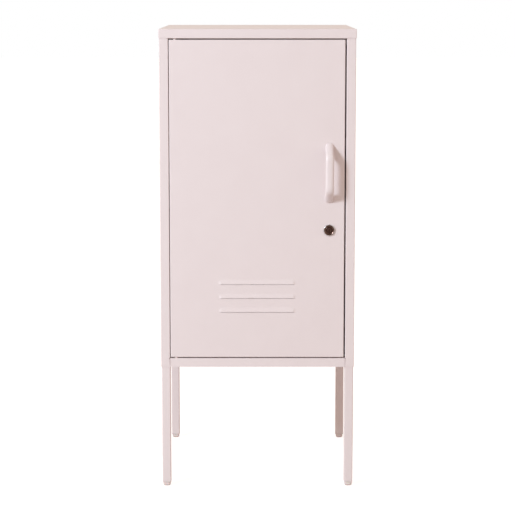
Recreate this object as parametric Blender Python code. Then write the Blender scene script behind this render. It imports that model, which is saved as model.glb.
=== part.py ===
"""Single-door steel locker cabinet on four square legs, built as an assembly of separate pieces.

Run it with: blender --background --python part.py

World frame: metres, +Z up, the door faces -Y, and the origin is on the floor under the middle of the
object's box. Inside that frame an empty, carcass_frame, stands on the floor in the plane of the door's face.
Every carcass piece is drawn from it: x from the middle, y backwards from the face, z up from the floor.
"""

import math

import bmesh
import bpy
from mathutils import Matrix, Vector

MM = 0.001

# ---- driving dimensions -------------------------------------------------------------------------
WIDTH = 425 * MM
DEPTH = 460 * MM
HEIGHT = 1005 * MM
BODY_BOTTOM = 269 * MM
SHEET = 1.0 * MM
GAP = 0.3 * MM
BEND = 1.6 * MM
CAP_LIP = 19.3 * MM
STILE_WIDTH = 19.7 * MM
RETURN_DEPTH = 16 * MM
REAR_FLANGE = 15 * MM
FLOOR_TOP = 288.1 * MM
RAIL_BOTTOM = 984.7 * MM
STOP_BACK = 19.3 * MM
STOP_BOTTOM = 972 * MM
STOP_LEFT = -150 * MM
TRAY_LEG_ROOM = 70 * MM
TRAY_REAR_LIP = 188 * MM

DOOR_WIDTH = 378.7 * MM
DOOR_HEIGHT = 691.7 * MM
DOOR_LEFT = -190.2 * MM
DOOR_BOTTOM = 290.5 * MM
DOOR_DEPTH = 16 * MM
DOOR_LIP = 12 * MM
PIVOT_IN = 12.5 * MM
PIVOT_BACK = 5 * MM
PIN_RADIUS = 2 * MM
PIN_HEAD = 1.5 * MM
BUSH_BARREL = 3.1 * MM
BUSH_FLANGE = 3.7 * MM

LOUVRE_COUNT = 3
LOUVRE_WIDTH = 168 * MM
LOUVRE_HEIGHT = 12 * MM
LOUVRE_REACH = 2.0 * MM
LOUVRE_END = 6.5 * MM
LOUVRE_PITCH = 30.7 * MM
LOUVRE_LOWEST = 100.2 * MM

HANDLE_LENGTH = 131 * MM
HANDLE_WIDTH = 18 * MM
HANDLE_REACH = 34 * MM
HANDLE_GRIP = 9 * MM
HANDLE_POST = 12 * MM
HANDLE_TURN = 16 * MM
HANDLE_LEAN = math.radians(38)
HANDLE_X = 345.3 * MM
HANDLE_Z = 405 * MM
HANDLE_SCREW = 2 * MM
HANDLE_SCREW_DEPTH = 8 * MM
HANDLE_SCREW_IN = 2 * MM

LOCK_X = 345.7 * MM
LOCK_Z = 280.9 * MM
LOCK_BARREL = 9 * MM
LOCK_BEZEL = 12.5 * MM
PLUG_RADIUS = 6 * MM
BARREL_END = 17.0 * MM
BEZEL_FRONT = -3.3 * MM
CAM_REACH = 46 * MM
CAM_THICK = 1.8 * MM
CAM_HUB = 9 * MM
CAM_TIP = 6 * MM
CAM_HOLE = 2.3 * MM

STIFFENER_START = 285 * MM
STIFFENER_FOOT = 8 * MM
STIFFENER_WEB = 18 * MM
STIFFENER_RISE = 10 * MM
STIFFENER_END = 14 * MM

LEG = 19 * MM
LEG_WALL = 1.2 * MM
LEG_CORNER = 2.0 * MM
LEG_BORE_CORNER = 0.8 * MM
LEG_PLATE = 3 * MM
LEG_PLATE_OUTLINE = ((0, 0), (19, 0), (19, 19), (46, 19), (46, 36), (20, 60), (0, 60))
FOOT_TOP = 10.7 * MM
BOLT_RADIUS = 3 * MM
BOLT_PLACES = ((33 * MM, 27 * MM), (10 * MM, 46 * MM))

UPRIGHT_DEPTH = 10 * MM
UPRIGHT_WIDTH = 24 * MM
UPRIGHT_SETBACK = 24 * MM
SLOT_WIDTH = 5 * MM
SLOT_HEIGHT = 14 * MM
SLOT_PITCH = 50 * MM
SLOT_FIRST = 337.7 * MM
SLOT_COUNT = 12
SHELF_HALF_WIDTH = 197.5 * MM
SHELF_FRONT = 22 * MM
SHELF_LIP = 18 * MM
CLIP_RISE = 14 * MM
SHELF_SLOTS = {"lower": 3, "upper": 8}

GROMMET_WALL = 4 * MM
CABLE_HOLE = 25 * MM
CABLE_HOLE_Z = 400 * MM
WALL_HOLE = 4 * MM
WALL_HOLE_X = 120 * MM
WALL_HOLE_Z = 940 * MM

CATCH_X = 125 * MM
CATCH_HALF = 28 * MM
CATCH_BLOCK_HALF = 17 * MM
CATCH_POCKET_HALF = 13 * MM
CATCH_BACK = 34 * MM
CATCH_EAR = 2.5 * MM
CATCH_HEIGHT = 11 * MM
CATCH_SCREW = 1.5 * MM
CATCH_SCREW_X = 23 * MM
CATCH_SCREW_Y = 26 * MM
BUMPER_PLACES = {"inner": 20 * MM, "outer": 150 * MM}

# ---- places worked out from them ----------------------------------------------------------------
FACE_STEP = SHEET + GAP
FACE_Y = FACE_STEP - (DEPTH + FACE_STEP - HANDLE_REACH) / 2
SIDE_OUT = WIDTH / 2 - FACE_STEP
SIDE_IN = SIDE_OUT - SHEET
INSIDE = SIDE_IN - GAP
OPENING = SIDE_OUT - STILE_WIDTH
REAR = DEPTH - 2 * FACE_STEP
BACK_FRONT = REAR - 2 * SHEET - GAP
CAP_UNDERSIDE = HEIGHT - FACE_STEP
PIVOT_X = DOOR_LEFT + PIVOT_IN
CAM_FRONT = BARREL_END + 2 * GAP
CAM_BACK = CAM_FRONT + CAM_THICK
CORNERS = {
    "front_left": (-1, 1),
    "front_right": (1, 1),
    "rear_left": (-1, -1),
    "rear_right": (1, -1),
}

# ---- finishes: sRGB colour, roughness, metallic -------------------------------------------------
POWDER_COAT = ("powder_coat", (0.905, 0.855, 0.855), 0.55, 0.0)
CHROME = ("chrome", (0.78, 0.78, 0.79), 0.12, 1.0)
ZINC = ("zinc_steel", (0.70, 0.71, 0.72), 0.35, 1.0)
NYLON = ("nylon", (0.90, 0.87, 0.86), 0.45, 0.0)
RUBBER = ("rubber", (0.16, 0.16, 0.16), 0.80, 0.0)
DARK_PLASTIC = ("dark_plastic", (0.20, 0.20, 0.21), 0.50, 0.0)


# ---- helpers ------------------------------------------------------------------------------------
def clear_scene():
    """Empties the scene, whatever it was opened with."""
    for obj in list(bpy.data.objects):
        bpy.data.objects.remove(obj, do_unlink=True)


def to_linear(channel):
    """One sRGB channel as linear light."""
    return channel / 12.92 if channel <= 0.04045 else ((channel + 0.055) / 1.055) ** 2.4


def dress(obj, finish):
    """Gives the object its own Principled material."""
    name, colour, roughness, metallic = finish
    material = bpy.data.materials.new(f"{obj.name}_{name}")
    material.use_nodes = True
    shader = material.node_tree.nodes["Principled BSDF"]
    shader.inputs["Base Color"].default_value = (*map(to_linear, colour), 1.0)
    shader.inputs["Roughness"].default_value = roughness
    shader.inputs["Metallic"].default_value = metallic
    obj.data.materials.append(material)


def axis_empty(name, place, parent=None):
    """An empty that carries the pieces which share a place or a joint's axis."""
    empty = bpy.data.objects.new(name, None)
    bpy.context.scene.collection.objects.link(empty)
    empty.location = place
    empty.parent = parent
    return empty


def add_piece(name, shape, finish, parent, place=(0, 0, 0), smooth=False):
    """Turns a bmesh into a named, placed and painted object."""
    mesh = bpy.data.meshes.new(name)
    shape.to_mesh(mesh)
    shape.free()
    obj = bpy.data.objects.new(name, mesh)
    bpy.context.scene.collection.objects.link(obj)
    obj.location = place
    obj.parent = parent
    if smooth:
        mesh.shade_smooth()
        mesh.set_sharp_from_angle(angle=math.radians(35))
    if finish:
        dress(obj, finish)
    return obj


def combine(obj, shape, operation, label):
    """Cuts the shape out of the object, or joins it on, with a Boolean that keeps its cutter hidden."""
    cutter = add_piece(f"{obj.name}_{label}", shape, None, obj)
    cutter.hide_render = True
    cutter.display_type = "WIRE"
    modifier = obj.modifiers.new(label, "BOOLEAN")
    modifier.operation = operation
    modifier.object = cutter
    modifier.solver = "EXACT"


def box(low, high, into=None):
    """A box between two corners, in a new bmesh or added to one."""
    shape = into or bmesh.new()
    low, high = Vector(low), Vector(high)
    place = Matrix.Translation((low + high) / 2) @ Matrix.Diagonal((*(high - low), 1))
    bmesh.ops.create_cube(shape, size=1, matrix=place)
    return shape


def rod(radius, start, end, sides=16, into=None):
    """A round rod from start to end."""
    shape = into or bmesh.new()
    start, end = Vector(start), Vector(end)
    run = end - start
    place = Matrix.Translation((start + end) / 2) @ run.to_track_quat("Z", "Y").to_matrix().to_4x4()
    bmesh.ops.create_cone(
        shape, cap_ends=True, segments=sides, radius1=radius, radius2=radius, depth=run.length, matrix=place
    )
    return shape


def turned(profile, sides=24, closed=False, along_y=False):
    """A turned piece: (radius, height) points spun round Z, or round Y with height running backwards."""
    shape = bmesh.new()
    verts = [shape.verts.new((radius, 0, height)) for radius, height in profile]
    pairs = list(zip(verts, verts[1:]))
    if closed:
        pairs.append((verts[-1], verts[0]))
    edges = [shape.edges.new(pair) for pair in pairs]
    bmesh.ops.spin(
        shape, geom=verts + edges, cent=(0, 0, 0), axis=(0, 0, 1), angle=math.tau, steps=sides, use_merge=True
    )
    bmesh.ops.remove_doubles(shape, verts=shape.verts, dist=0.01 * MM)
    bmesh.ops.recalc_face_normals(shape, faces=shape.faces)
    if along_y:
        bmesh.ops.rotate(shape, verts=shape.verts, matrix=Matrix.Rotation(-math.pi / 2, 3, "X"))
    return shape


def prism(outline, rise):
    """A flat outline of 3-D points, extruded along the vector rise."""
    shape = bmesh.new()
    face = shape.faces.new([shape.verts.new(point) for point in outline])
    extruded = bmesh.ops.extrude_face_region(shape, geom=[face], use_keep_orig=True)
    moved = [item for item in extruded["geom"] if isinstance(item, bmesh.types.BMVert)]
    bmesh.ops.translate(shape, verts=moved, vec=rise)
    bmesh.ops.recalc_face_normals(shape, faces=shape.faces)
    return shape


def folded_sheet(name, panels, outward, finish, parent, place=(0, 0, 0), bend=BEND):
    """Sheet metal: flat panels that share edges, bent round at the folds and given the sheet's thickness.

    The panels are the outer surface, and outward is the way that the first one faces.
    """
    shape = bmesh.new()
    for panel in panels:
        shape.faces.new([shape.verts.new(point) for point in panel])
    bmesh.ops.remove_doubles(shape, verts=shape.verts, dist=0.01 * MM)
    bmesh.ops.recalc_face_normals(shape, faces=shape.faces)
    shape.faces.ensure_lookup_table()
    if shape.faces[0].normal.dot(Vector(outward)) < 0:
        bmesh.ops.reverse_faces(shape, faces=shape.faces)
    obj = add_piece(name, shape, finish, parent, place)
    if bend:
        rounding = obj.modifiers.new("bends", "BEVEL")
        rounding.width = bend
        rounding.segments = 2
        rounding.limit_method = "ANGLE"
        rounding.angle_limit = math.radians(80)
    thickness = obj.modifiers.new("sheet", "SOLIDIFY")
    thickness.thickness = SHEET
    thickness.offset = -1
    thickness.use_even_offset = True
    return obj


def strip(points, start, end):
    """Folded panels of a constant profile: a line of (x, y) points drawn up from z start to z end."""
    return [
        [(*a, start), (*b, start), (*b, end), (*a, end)]
        for a, b in zip(points, points[1:])
    ]


def rounded_square(half, radius, height, arc_points=2):
    """The points of a rounded square ring, anticlockwise from +X."""
    ring = []
    for quarter in range(4):
        middle = Matrix.Rotation(quarter * math.pi / 2, 3, "Z") @ Vector((half - radius, half - radius, 0))
        for step in range(arc_points + 1):
            angle = (quarter + step / arc_points) * math.pi / 2
            ring.append(middle + Vector((radius * math.cos(angle), radius * math.sin(angle), height)))
    return ring


def loft(rings):
    """A closed solid through rings of equal point counts, capped at both ends."""
    shape = bmesh.new()
    loops = [[shape.verts.new(point) for point in ring] for ring in rings]
    count = len(loops[0])
    for lower, upper in zip(loops, loops[1:]):
        for index in range(count):
            after = (index + 1) % count
            shape.faces.new((lower[index], lower[after], upper[after], upper[index]))
    shape.faces.new(reversed(loops[0]))
    shape.faces.new(loops[-1])
    bmesh.ops.recalc_face_normals(shape, faces=shape.faces)
    return shape


def upright_hole(radius, place, into=None):
    """The cutter of an upright hole through a sheet, for a part of this radius with its clearance."""
    place, reach = Vector(place), Vector((0, 0, 4 * MM))
    return rod(radius + GAP, place - reach, place + reach, 16, into)


def corner_point(corner, across, along, height):
    """A point in corner measures: across from the side and along from the front or rear, both inwards."""
    side, end = CORNERS[corner]
    near = FACE_STEP if end > 0 else BACK_FRONT - GAP
    return Vector((side * (INSIDE - across), near + end * along, height))


def corner_box(corner, low, high, into=None):
    """A box in corner measures."""
    first, second = corner_point(corner, *low), corner_point(corner, *high)
    return box(map(min, first, second), map(max, first, second), into)


# ---- carcass ------------------------------------------------------------------------------------
def make_top_panel(carcass):
    """The folded cap that drops over the carcass."""
    half, front, rear = WIDTH / 2, -FACE_STEP, DEPTH - FACE_STEP
    low, top = HEIGHT - CAP_LIP, HEIGHT
    corners = [(-half, front), (half, front), (half, rear), (-half, rear)]
    plate = [(*corner, top) for corner in corners]
    lips = strip(corners + corners[:1], low, top)
    folded_sheet("top_panel", [plate] + lips, (0, 0, 1), POWDER_COAT, carcass)


def make_side_panel(carcass, name, side):
    """A side wall with the front stile folded on, and a flange at the rear.

    The stile has a return beside the opening, which starts above the leg.
    """
    profile = [
        (side * (SIDE_OUT - REAR_FLANGE), REAR),
        (side * SIDE_OUT, REAR),
        (side * SIDE_OUT, 0),
        (side * OPENING, 0),
    ]
    return_bottom = FLOOR_TOP + GAP
    panels = strip(profile, BODY_BOTTOM, CAP_UNDERSIDE)
    panels[-1].insert(2, (side * OPENING, 0, return_bottom))
    panels += strip([profile[-1], (side * OPENING, RETURN_DEPTH)], return_bottom, CAP_UNDERSIDE)
    folded_sheet(name, panels, (0, 1, 0), POWDER_COAT, carcass)


def make_back_panel(carcass):
    """The rear sheet, with a cable hole and two holes for fixing the cabinet to a wall."""
    low = (-INSIDE, BACK_FRONT, BODY_BOTTOM + GAP)
    high = (INSIDE, BACK_FRONT + SHEET, CAP_UNDERSIDE - GAP)
    panel = add_piece("back_panel", box(low, high), POWDER_COAT, carcass)
    through = [(CABLE_HOLE, 0, CABLE_HOLE_Z, 24)]
    through += [(WALL_HOLE, side * WALL_HOLE_X, WALL_HOLE_Z, 16) for side in (-1, 1)]
    holes = bmesh.new()
    for radius, x, z, sides in through:
        rod(radius, (x, BACK_FRONT - 5 * MM, z), (x, BACK_FRONT + 5 * MM, z), sides, holes)
    combine(panel, holes, "DIFFERENCE", "holes")


def make_bottom_panel(carcass):
    """The floor tray, whose front lip is the rail under the door. Its lips stop short of the four legs."""
    front_half = OPENING - GAP
    notch = RETURN_DEPTH + GAP
    rear, lip_half = BACK_FRONT - GAP, TRAY_REAR_LIP
    lip_front, lip_rear = TRAY_LEG_ROOM, rear - TRAY_LEG_ROOM
    plate = [(-front_half, 0), (front_half, 0), (front_half, notch), (INSIDE, notch)]
    plate += [(INSIDE, lip_front), (INSIDE, lip_rear), (INSIDE, rear), (lip_half, rear), (-lip_half, rear)]
    plate += [(-INSIDE, rear), (-INSIDE, lip_rear), (-INSIDE, lip_front)]
    plate += [(-INSIDE, notch), (-front_half, notch)]
    folds = [
        ((-front_half, 0), (front_half, 0)),
        ((INSIDE, lip_front), (INSIDE, lip_rear)),
        ((lip_half, rear), (-lip_half, rear)),
        ((-INSIDE, lip_rear), (-INSIDE, lip_front)),
    ]
    panels = [[(*point, FLOOR_TOP) for point in plate]]
    for fold in folds:
        panels += strip(fold, BODY_BOTTOM, FLOOR_TOP)
    tray = folded_sheet("bottom_panel", panels, (0, 0, 1), POWDER_COAT, carcass)
    holes = upright_hole(PIN_RADIUS, (PIVOT_X, PIVOT_BACK, FLOOR_TOP))
    for x in (CATCH_X - CATCH_SCREW_X, CATCH_X + CATCH_SCREW_X):
        upright_hole(CATCH_SCREW, (x, CATCH_SCREW_Y, FLOOR_TOP), holes)
    for corner in CORNERS:
        for across, along in BOLT_PLACES:
            upright_hole(BOLT_RADIUS, corner_point(corner, across, along, FLOOR_TOP), holes)
    combine(tray, holes, "DIFFERENCE", "holes")


def make_top_rail(carcass):
    """The rail over the door: an upstand behind the cap's lip, a web, and a flange that the door closes on.

    The flange starts clear of the hinge, where the door's rear corner swings inwards.
    """
    left, right = -(OPENING - GAP), OPENING - GAP
    upstand = [(left, 0, CAP_UNDERSIDE - GAP), (right, 0, CAP_UNDERSIDE - GAP)]
    front = [(right, 0, RAIL_BOTTOM), (left, 0, RAIL_BOTTOM)]
    rear = [(x, STOP_BACK, RAIL_BOTTOM) for x in (left, STOP_LEFT, right)]
    stop = [(right, STOP_BACK, STOP_BOTTOM), (STOP_LEFT, STOP_BACK, STOP_BOTTOM)]
    panels = [upstand + front, front[::-1] + rear[::-1], rear[1:] + stop]
    rail = folded_sheet("top_rail", panels, (0, -1, 0), POWDER_COAT, carcass, bend=BEND / 2)
    hole = upright_hole(PIN_RADIUS, (PIVOT_X, PIVOT_BACK, RAIL_BOTTOM))
    combine(rail, hole, "DIFFERENCE", "pin_hole")


def make_cable_grommet(carcass):
    """The rubber ring that lines the cable hole: a groove round its middle holds the sheet's edge."""
    bore, groove, rim = CABLE_HOLE - GROMMET_WALL, CABLE_HOLE - GAP, CABLE_HOLE + 3 * MM
    profile = [(bore, -3 * MM), (rim, -2.2 * MM), (rim, -GAP), (groove, -GAP)]
    profile += [(groove, SHEET + GAP), (rim, SHEET + GAP), (rim, SHEET + 1.0 * MM), (bore, SHEET + 1.0 * MM)]
    place = (0, BACK_FRONT, CABLE_HOLE_Z)
    shape = turned(profile, 24, closed=True, along_y=True)
    add_piece("cable_grommet", shape, RUBBER, carcass, place, smooth=True)


# ---- shelf uprights, clips and shelves ----------------------------------------------------------
def make_upright(carcass, corner):
    """A slotted channel on the side wall, which the shelf clips hook into."""
    side, end = CORNERS[corner]
    near, far = UPRIGHT_SETBACK, UPRIGHT_SETBACK + UPRIGHT_WIDTH
    low, high = FLOOR_TOP + 2 * MM, RAIL_BOTTOM
    profile = [(0, near), (UPRIGHT_DEPTH, near), (UPRIGHT_DEPTH, far), (0, far)]
    points = [tuple(corner_point(corner, *point, 0).xy) for point in profile]
    outward = (0, -end, 0)
    upright = folded_sheet(
        f"shelf_upright_{corner}", strip(points, low, high), outward, POWDER_COAT, carcass, bend=BEND
    )
    slots = bmesh.new()
    middle = (near + far) / 2
    for row in range(SLOT_COUNT):
        z = SLOT_FIRST + row * SLOT_PITCH
        first = (UPRIGHT_DEPTH - 3 * MM, middle - SLOT_WIDTH / 2, z - SLOT_HEIGHT / 2)
        last = (UPRIGHT_DEPTH + 3 * MM, middle + SLOT_WIDTH / 2, z + SLOT_HEIGHT / 2)
        corner_box(corner, first, last, slots)
    combine(upright, slots, "DIFFERENCE", "slots")


def make_shelf_clip(carcass, level, corner):
    """A bent steel clip: a hook through the slot, a plate against the channel and a ledge under the shelf."""
    z = SLOT_FIRST + SHELF_SLOTS[level] * SLOT_PITCH
    middle = UPRIGHT_SETBACK + UPRIGHT_WIDTH / 2
    half, tongue = 9 * MM, SLOT_WIDTH / 2 - GAP
    face, thick, ledge = UPRIGHT_DEPTH + GAP, 1.5 * MM, 24 * MM
    section = [
        (face, z - 10 * MM),
        (face + thick, z - 10 * MM),
        (face + thick, z + CLIP_RISE - thick),
        (ledge, z + CLIP_RISE - thick),
        (ledge, z + CLIP_RISE),
        (face, z + CLIP_RISE),
    ]
    outline = [corner_point(corner, across, middle - half, height) for across, height in section]
    end = CORNERS[corner][1]
    shape = prism(outline, Vector((0, end * 2 * half, 0)))
    clip = add_piece(f"shelf_clip_{level}_{corner}", shape, ZINC, carcass)
    inner = UPRIGHT_DEPTH - SHEET - GAP - thick
    hook = [
        (inner, z - 6 * MM),
        (inner + thick, z - 6 * MM),
        (inner + thick, z + 3 * MM),
        (face + thick / 2, z + 3 * MM),
        (face + thick / 2, z + 5 * MM),
        (inner, z + 5 * MM),
    ]
    outline = [corner_point(corner, across, middle - tongue, height) for across, height in hook]
    combine(clip, prism(outline, Vector((0, end * 2 * tongue, 0))), "UNION", "hook")


def make_shelf(carcass, level):
    """A folded shelf tray that rests on four clips and lifts off them."""
    top = SLOT_FIRST + SHELF_SLOTS[level] * SLOT_PITCH + CLIP_RISE + GAP + SHELF_LIP
    lift = axis_empty(f"{level}_shelf_lift_axis", (0, SHELF_FRONT, top), carcass)
    half, rear = SHELF_HALF_WIDTH, BACK_FRONT - 3 * MM - SHELF_FRONT
    corners = [(-half, 0), (half, 0), (half, rear), (-half, rear)]
    plate = [(*corner, 0) for corner in corners]
    lips = strip(corners + corners[:1], -SHELF_LIP, 0)
    folded_sheet(f"{level}_shelf", [plate] + lips, (0, 0, 1), POWDER_COAT, lift)


# ---- legs and feet ------------------------------------------------------------------------------
def make_leg(carcass, corner):
    """A square tube that stands inside the carcass corner, with a plate on top for its two bolts."""
    top = FLOOR_TOP - SHEET - GAP
    middle = corner_point(corner, LEG / 2, LEG / 2, 0)
    ends = (FOOT_TOP + GAP, top)
    shape = loft([[point + middle for point in rounded_square(LEG / 2, LEG_CORNER, z)] for z in ends])
    leg = add_piece(f"leg_{corner}", shape, POWDER_COAT, carcass)
    inset = 0.05 * MM
    outline = [
        corner_point(corner, max(across * MM, inset), max(along * MM, inset), top - LEG_PLATE)
        for across, along in LEG_PLATE_OUTLINE
    ]
    combine(leg, prism(outline, Vector((0, 0, LEG_PLATE))), "UNION", "plate")
    inner, ceiling = LEG / 2 - LEG_WALL, top - LEG_PLATE - 2 * MM
    hollow = loft([
        [point + middle for point in rounded_square(inner, LEG_BORE_CORNER, z)]
        for z in (0, ceiling)
    ])
    for across, along in BOLT_PLACES:
        upright_hole(BOLT_RADIUS, corner_point(corner, across, along, top - LEG_PLATE / 2), hollow)
    combine(leg, hollow, "DIFFERENCE", "bore")


def make_leg_bolts(carcass, corner):
    """The two bolts that hold a leg's plate to the floor tray from below."""
    head_top = FLOOR_TOP - SHEET - LEG_PLATE - 2 * GAP
    profile = [(0, -3.5), (4.6, -3.5), (5.4, -2.6), (5.4, 0), (3, 0), (3, 4.5), (0, 4.5)]
    profile = [(radius * MM, height * MM) for radius, height in profile]
    for number, (across, along) in enumerate(BOLT_PLACES, 1):
        place = corner_point(corner, across, along, head_top)
        add_piece(f"leg_bolt_{corner}_{number}", turned(profile, 10), ZINC, carcass, place, smooth=True)


def make_foot(carcass, corner):
    """A moulded glide: a plug inside the tube, a flange under it, a short neck and a rounded pad."""
    sections = [
        (4.8, 3.4, 0),
        (6.0, 4.0, 0.6),
        (7.2, 4.4, 2.2),
        (8.0, 4.2, 4.4),
        (8.2, 4.0, 6.4),
        (7.8, 3.6, 7.0),
        (7.8, 3.6, 8.2),
        (9.5, 1.8, 8.6),
        (9.5, 1.8, 10.7),
        (8.0, 1.0, 10.7),
        (8.0, 1.0, 22.0),
        (7.3, 0.8, 24.0),
    ]
    rings = [rounded_square(half * MM, radius * MM, height * MM) for half, radius, height in sections]
    place = corner_point(corner, LEG / 2, LEG / 2, 0)
    add_piece(f"foot_{corner}", loft(rings), NYLON, carcass, place, smooth=True)


# ---- hinge, stops and catch ---------------------------------------------------------------------
def make_hinge_pin(carcass, name, height, up):
    """A headed pin on the hinge axis. Its head lies on the carcass sheet, and its shank points up or down."""
    head, length, tip = 3.4 * MM, 11.8 * MM, 0.7 * MM
    profile = [(0, 0), (head, 0), (head, PIN_HEAD), (PIN_RADIUS, PIN_HEAD)]
    profile += [(PIN_RADIUS, length - tip), (PIN_RADIUS - tip, length), (0, length)]
    shape = turned([(radius, up * reach) for radius, reach in profile], 16)
    place = (PIVOT_X, PIVOT_BACK, height)
    add_piece(name, shape, ZINC, carcass, place, smooth=True)


def make_hinge_bush(door, name, height, up):
    """A nylon bush in the door's edge, with a flange that spaces the door from the carcass."""
    bore, thick, length = PIN_RADIUS + GAP, 1.5 * MM, 7 * MM
    profile = [(bore, 0), (BUSH_FLANGE, 0), (BUSH_FLANGE, thick)]
    profile += [(BUSH_BARREL, thick), (BUSH_BARREL, length), (bore, length)]
    shape = turned([(radius, up * reach) for radius, reach in profile], 16, closed=True)
    add_piece(name, shape, NYLON, door, (PIVOT_IN, PIVOT_BACK, height), smooth=True)


def make_bumpers(carcass):
    """Two rubber buttons on the top rail's flange, which cushion the door."""
    front, back = DOOR_DEPTH + GAP, STOP_BACK - GAP
    z = (STOP_BOTTOM + RAIL_BOTTOM) / 2 - MM
    profile = [(0, 0), (3.8 * MM, 0), (4.5 * MM, 0.6 * MM), (4.8 * MM, back - front), (0, back - front)]
    for name, x in BUMPER_PLACES.items():
        shape = turned(profile, 16, along_y=True)
        add_piece(f"door_bumper_{name}", shape, RUBBER, carcass, (x, front, z), smooth=True)


def make_catch(carcass):
    """A magnetic catch on the cabinet floor, which holds the closed door by its folded edge."""
    floor, front = FLOOR_TOP + GAP, DOOR_DEPTH + 2 * MM
    pocket_low, pocket_high, pocket_back = floor + 3 * MM, floor + 9 * MM, front + 9 * MM
    ear_top = floor + CATCH_EAR
    shape = box((CATCH_X - CATCH_HALF, front + MM, floor), (CATCH_X + CATCH_HALF, CATCH_BACK, ear_top))
    body = add_piece("magnet_catch_body", shape, DARK_PLASTIC, carcass)
    low = (CATCH_X - CATCH_BLOCK_HALF, front, floor + MM)
    high = (CATCH_X + CATCH_BLOCK_HALF, CATCH_BACK - 2 * MM, floor + CATCH_HEIGHT)
    combine(body, box(low, high), "UNION", "block")
    low = (CATCH_X - CATCH_POCKET_HALF, 0, pocket_low)
    high = (CATCH_X + CATCH_POCKET_HALF, pocket_back, pocket_high)
    cuts = box(low, high)
    for x in (CATCH_X - CATCH_SCREW_X, CATCH_X + CATCH_SCREW_X):
        upright_hole(CATCH_SCREW, (x, CATCH_SCREW_Y, floor + CATCH_EAR / 2), cuts)
    combine(body, cuts, "DIFFERENCE", "pocket_and_holes")
    low = (CATCH_X - CATCH_POCKET_HALF + GAP, DOOR_DEPTH + GAP, pocket_low + GAP)
    high = (CATCH_X + CATCH_POCKET_HALF - GAP, pocket_back - GAP, pocket_high - GAP)
    add_piece("magnet_catch_plates", box(low, high), ZINC, carcass)
    profile = [(0, 2.0), (1.8, 1.9), (3.0, 0.8), (3.0, 0), (1.5, 0), (1.5, -6.0), (0, -7.2)]
    profile = [(radius * MM, height * MM) for radius, height in profile]
    for name, side in (("left", -1), ("right", 1)):
        place = (CATCH_X + side * CATCH_SCREW_X, CATCH_SCREW_Y, ear_top + GAP)
        add_piece(f"catch_screw_{name}", turned(profile, 12), ZINC, carcass, place, smooth=True)


# ---- door ---------------------------------------------------------------------------------------
def louvre_faces(left, right, slot, top):
    """The hood of one louvre: a sloping front and two bevelled ends, open along the bottom."""
    lip_left, lip_right = left + LOUVRE_END, right - LOUVRE_END
    lip = slot + 0.6 * MM
    corner = [(left, 0, slot), (right, 0, slot), (right, 0, top), (left, 0, top)]
    nose = [(lip_left, -LOUVRE_REACH, lip), (lip_right, -LOUVRE_REACH, lip)]
    shoulder = [(lip_right, 0, top), (lip_left, 0, top)]
    return [
        [nose[0], nose[1], shoulder[0], shoulder[1]],
        [corner[0], nose[0], shoulder[1], corner[3]],
        [nose[1], corner[1], corner[2], shoulder[0]],
    ]


def door_levels():
    """The heights that divide the door's face: its bottom, each louvre's slot and top, and its own top."""
    levels = [0]
    for row in range(LOUVRE_COUNT):
        slot = LOUVRE_LOWEST + row * LOUVRE_PITCH
        levels += [slot, slot + LOUVRE_HEIGHT]
    return levels + [DOOR_HEIGHT]


def door_face(left, right, levels):
    """The door's front, in bands that run from level to level, with a louvre in every second band."""
    panels = []
    shoulders = [(left + LOUVRE_END, 0), (right - LOUVRE_END, 0)]
    for band, (low, high) in enumerate(zip(levels, levels[1:])):
        louvred = band % 2 == 1
        for start, end in ((0, left), (right, DOOR_WIDTH)):
            panels.append([(start, 0, low), (end, 0, low), (end, 0, high), (start, 0, high)])
        if louvred:
            panels += louvre_faces(left, right, low, high)
            continue
        lower = [(left, 0, low), (right, 0, low)]
        if band > 0:
            lower[1:1] = [(*shoulder, low) for shoulder in shoulders]
        panels.append(lower + [(right, 0, high), (left, 0, high)])
    return panels


def lip_corner(x, z):
    """A corner of the door's outline, moved back and inwards to the free edge of its lip."""
    across = math.copysign(DOOR_LIP, DOOR_WIDTH / 2 - x)
    along = math.copysign(DOOR_LIP, DOOR_HEIGHT / 2 - z)
    return (x + across, DOOR_DEPTH, z + along)


def door_rim(left, right, levels):
    """The door's four turned edges, each with a lip folded inwards at its back."""
    edges = [
        [(x, 0) for x in (0, left, right, DOOR_WIDTH)],
        [(DOOR_WIDTH, z) for z in levels],
        [(x, DOOR_HEIGHT) for x in (DOOR_WIDTH, right, left, 0)],
        [(0, z) for z in reversed(levels)],
    ]
    panels = []
    for edge in edges:
        start, end = edge[0], edge[-1]
        front = [(x, 0, z) for x, z in edge]
        back = [(x, DOOR_DEPTH, z) for x, z in (end, start)]
        inner = [lip_corner(*start), lip_corner(*end)]
        panels += [front + back, back + inner]
    return panels


def make_door_panel(door):
    """The door: one folded pan with three louvres pressed out of its face and a lip round its back."""
    left = (DOOR_WIDTH - LOUVRE_WIDTH) / 2
    right = left + LOUVRE_WIDTH
    levels = door_levels()
    panels = door_face(left, right, levels) + door_rim(left, right, levels)
    panel = folded_sheet("door_panel", panels, (0, -1, 0), POWDER_COAT, door)
    reach = 5 * MM
    holes = rod(LOCK_BARREL + GAP, (LOCK_X, -reach, LOCK_Z), (LOCK_X, reach, LOCK_Z), 24)
    for z in handle_screw_heights():
        rod(HANDLE_SCREW + GAP, (HANDLE_X, -reach, z), (HANDLE_X, reach, z), 12, holes)
    for z in (0, DOOR_HEIGHT):
        upright_hole(BUSH_BARREL, (PIVOT_IN, PIVOT_BACK, z), holes)
    combine(panel, holes, "DIFFERENCE", "holes")


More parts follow.
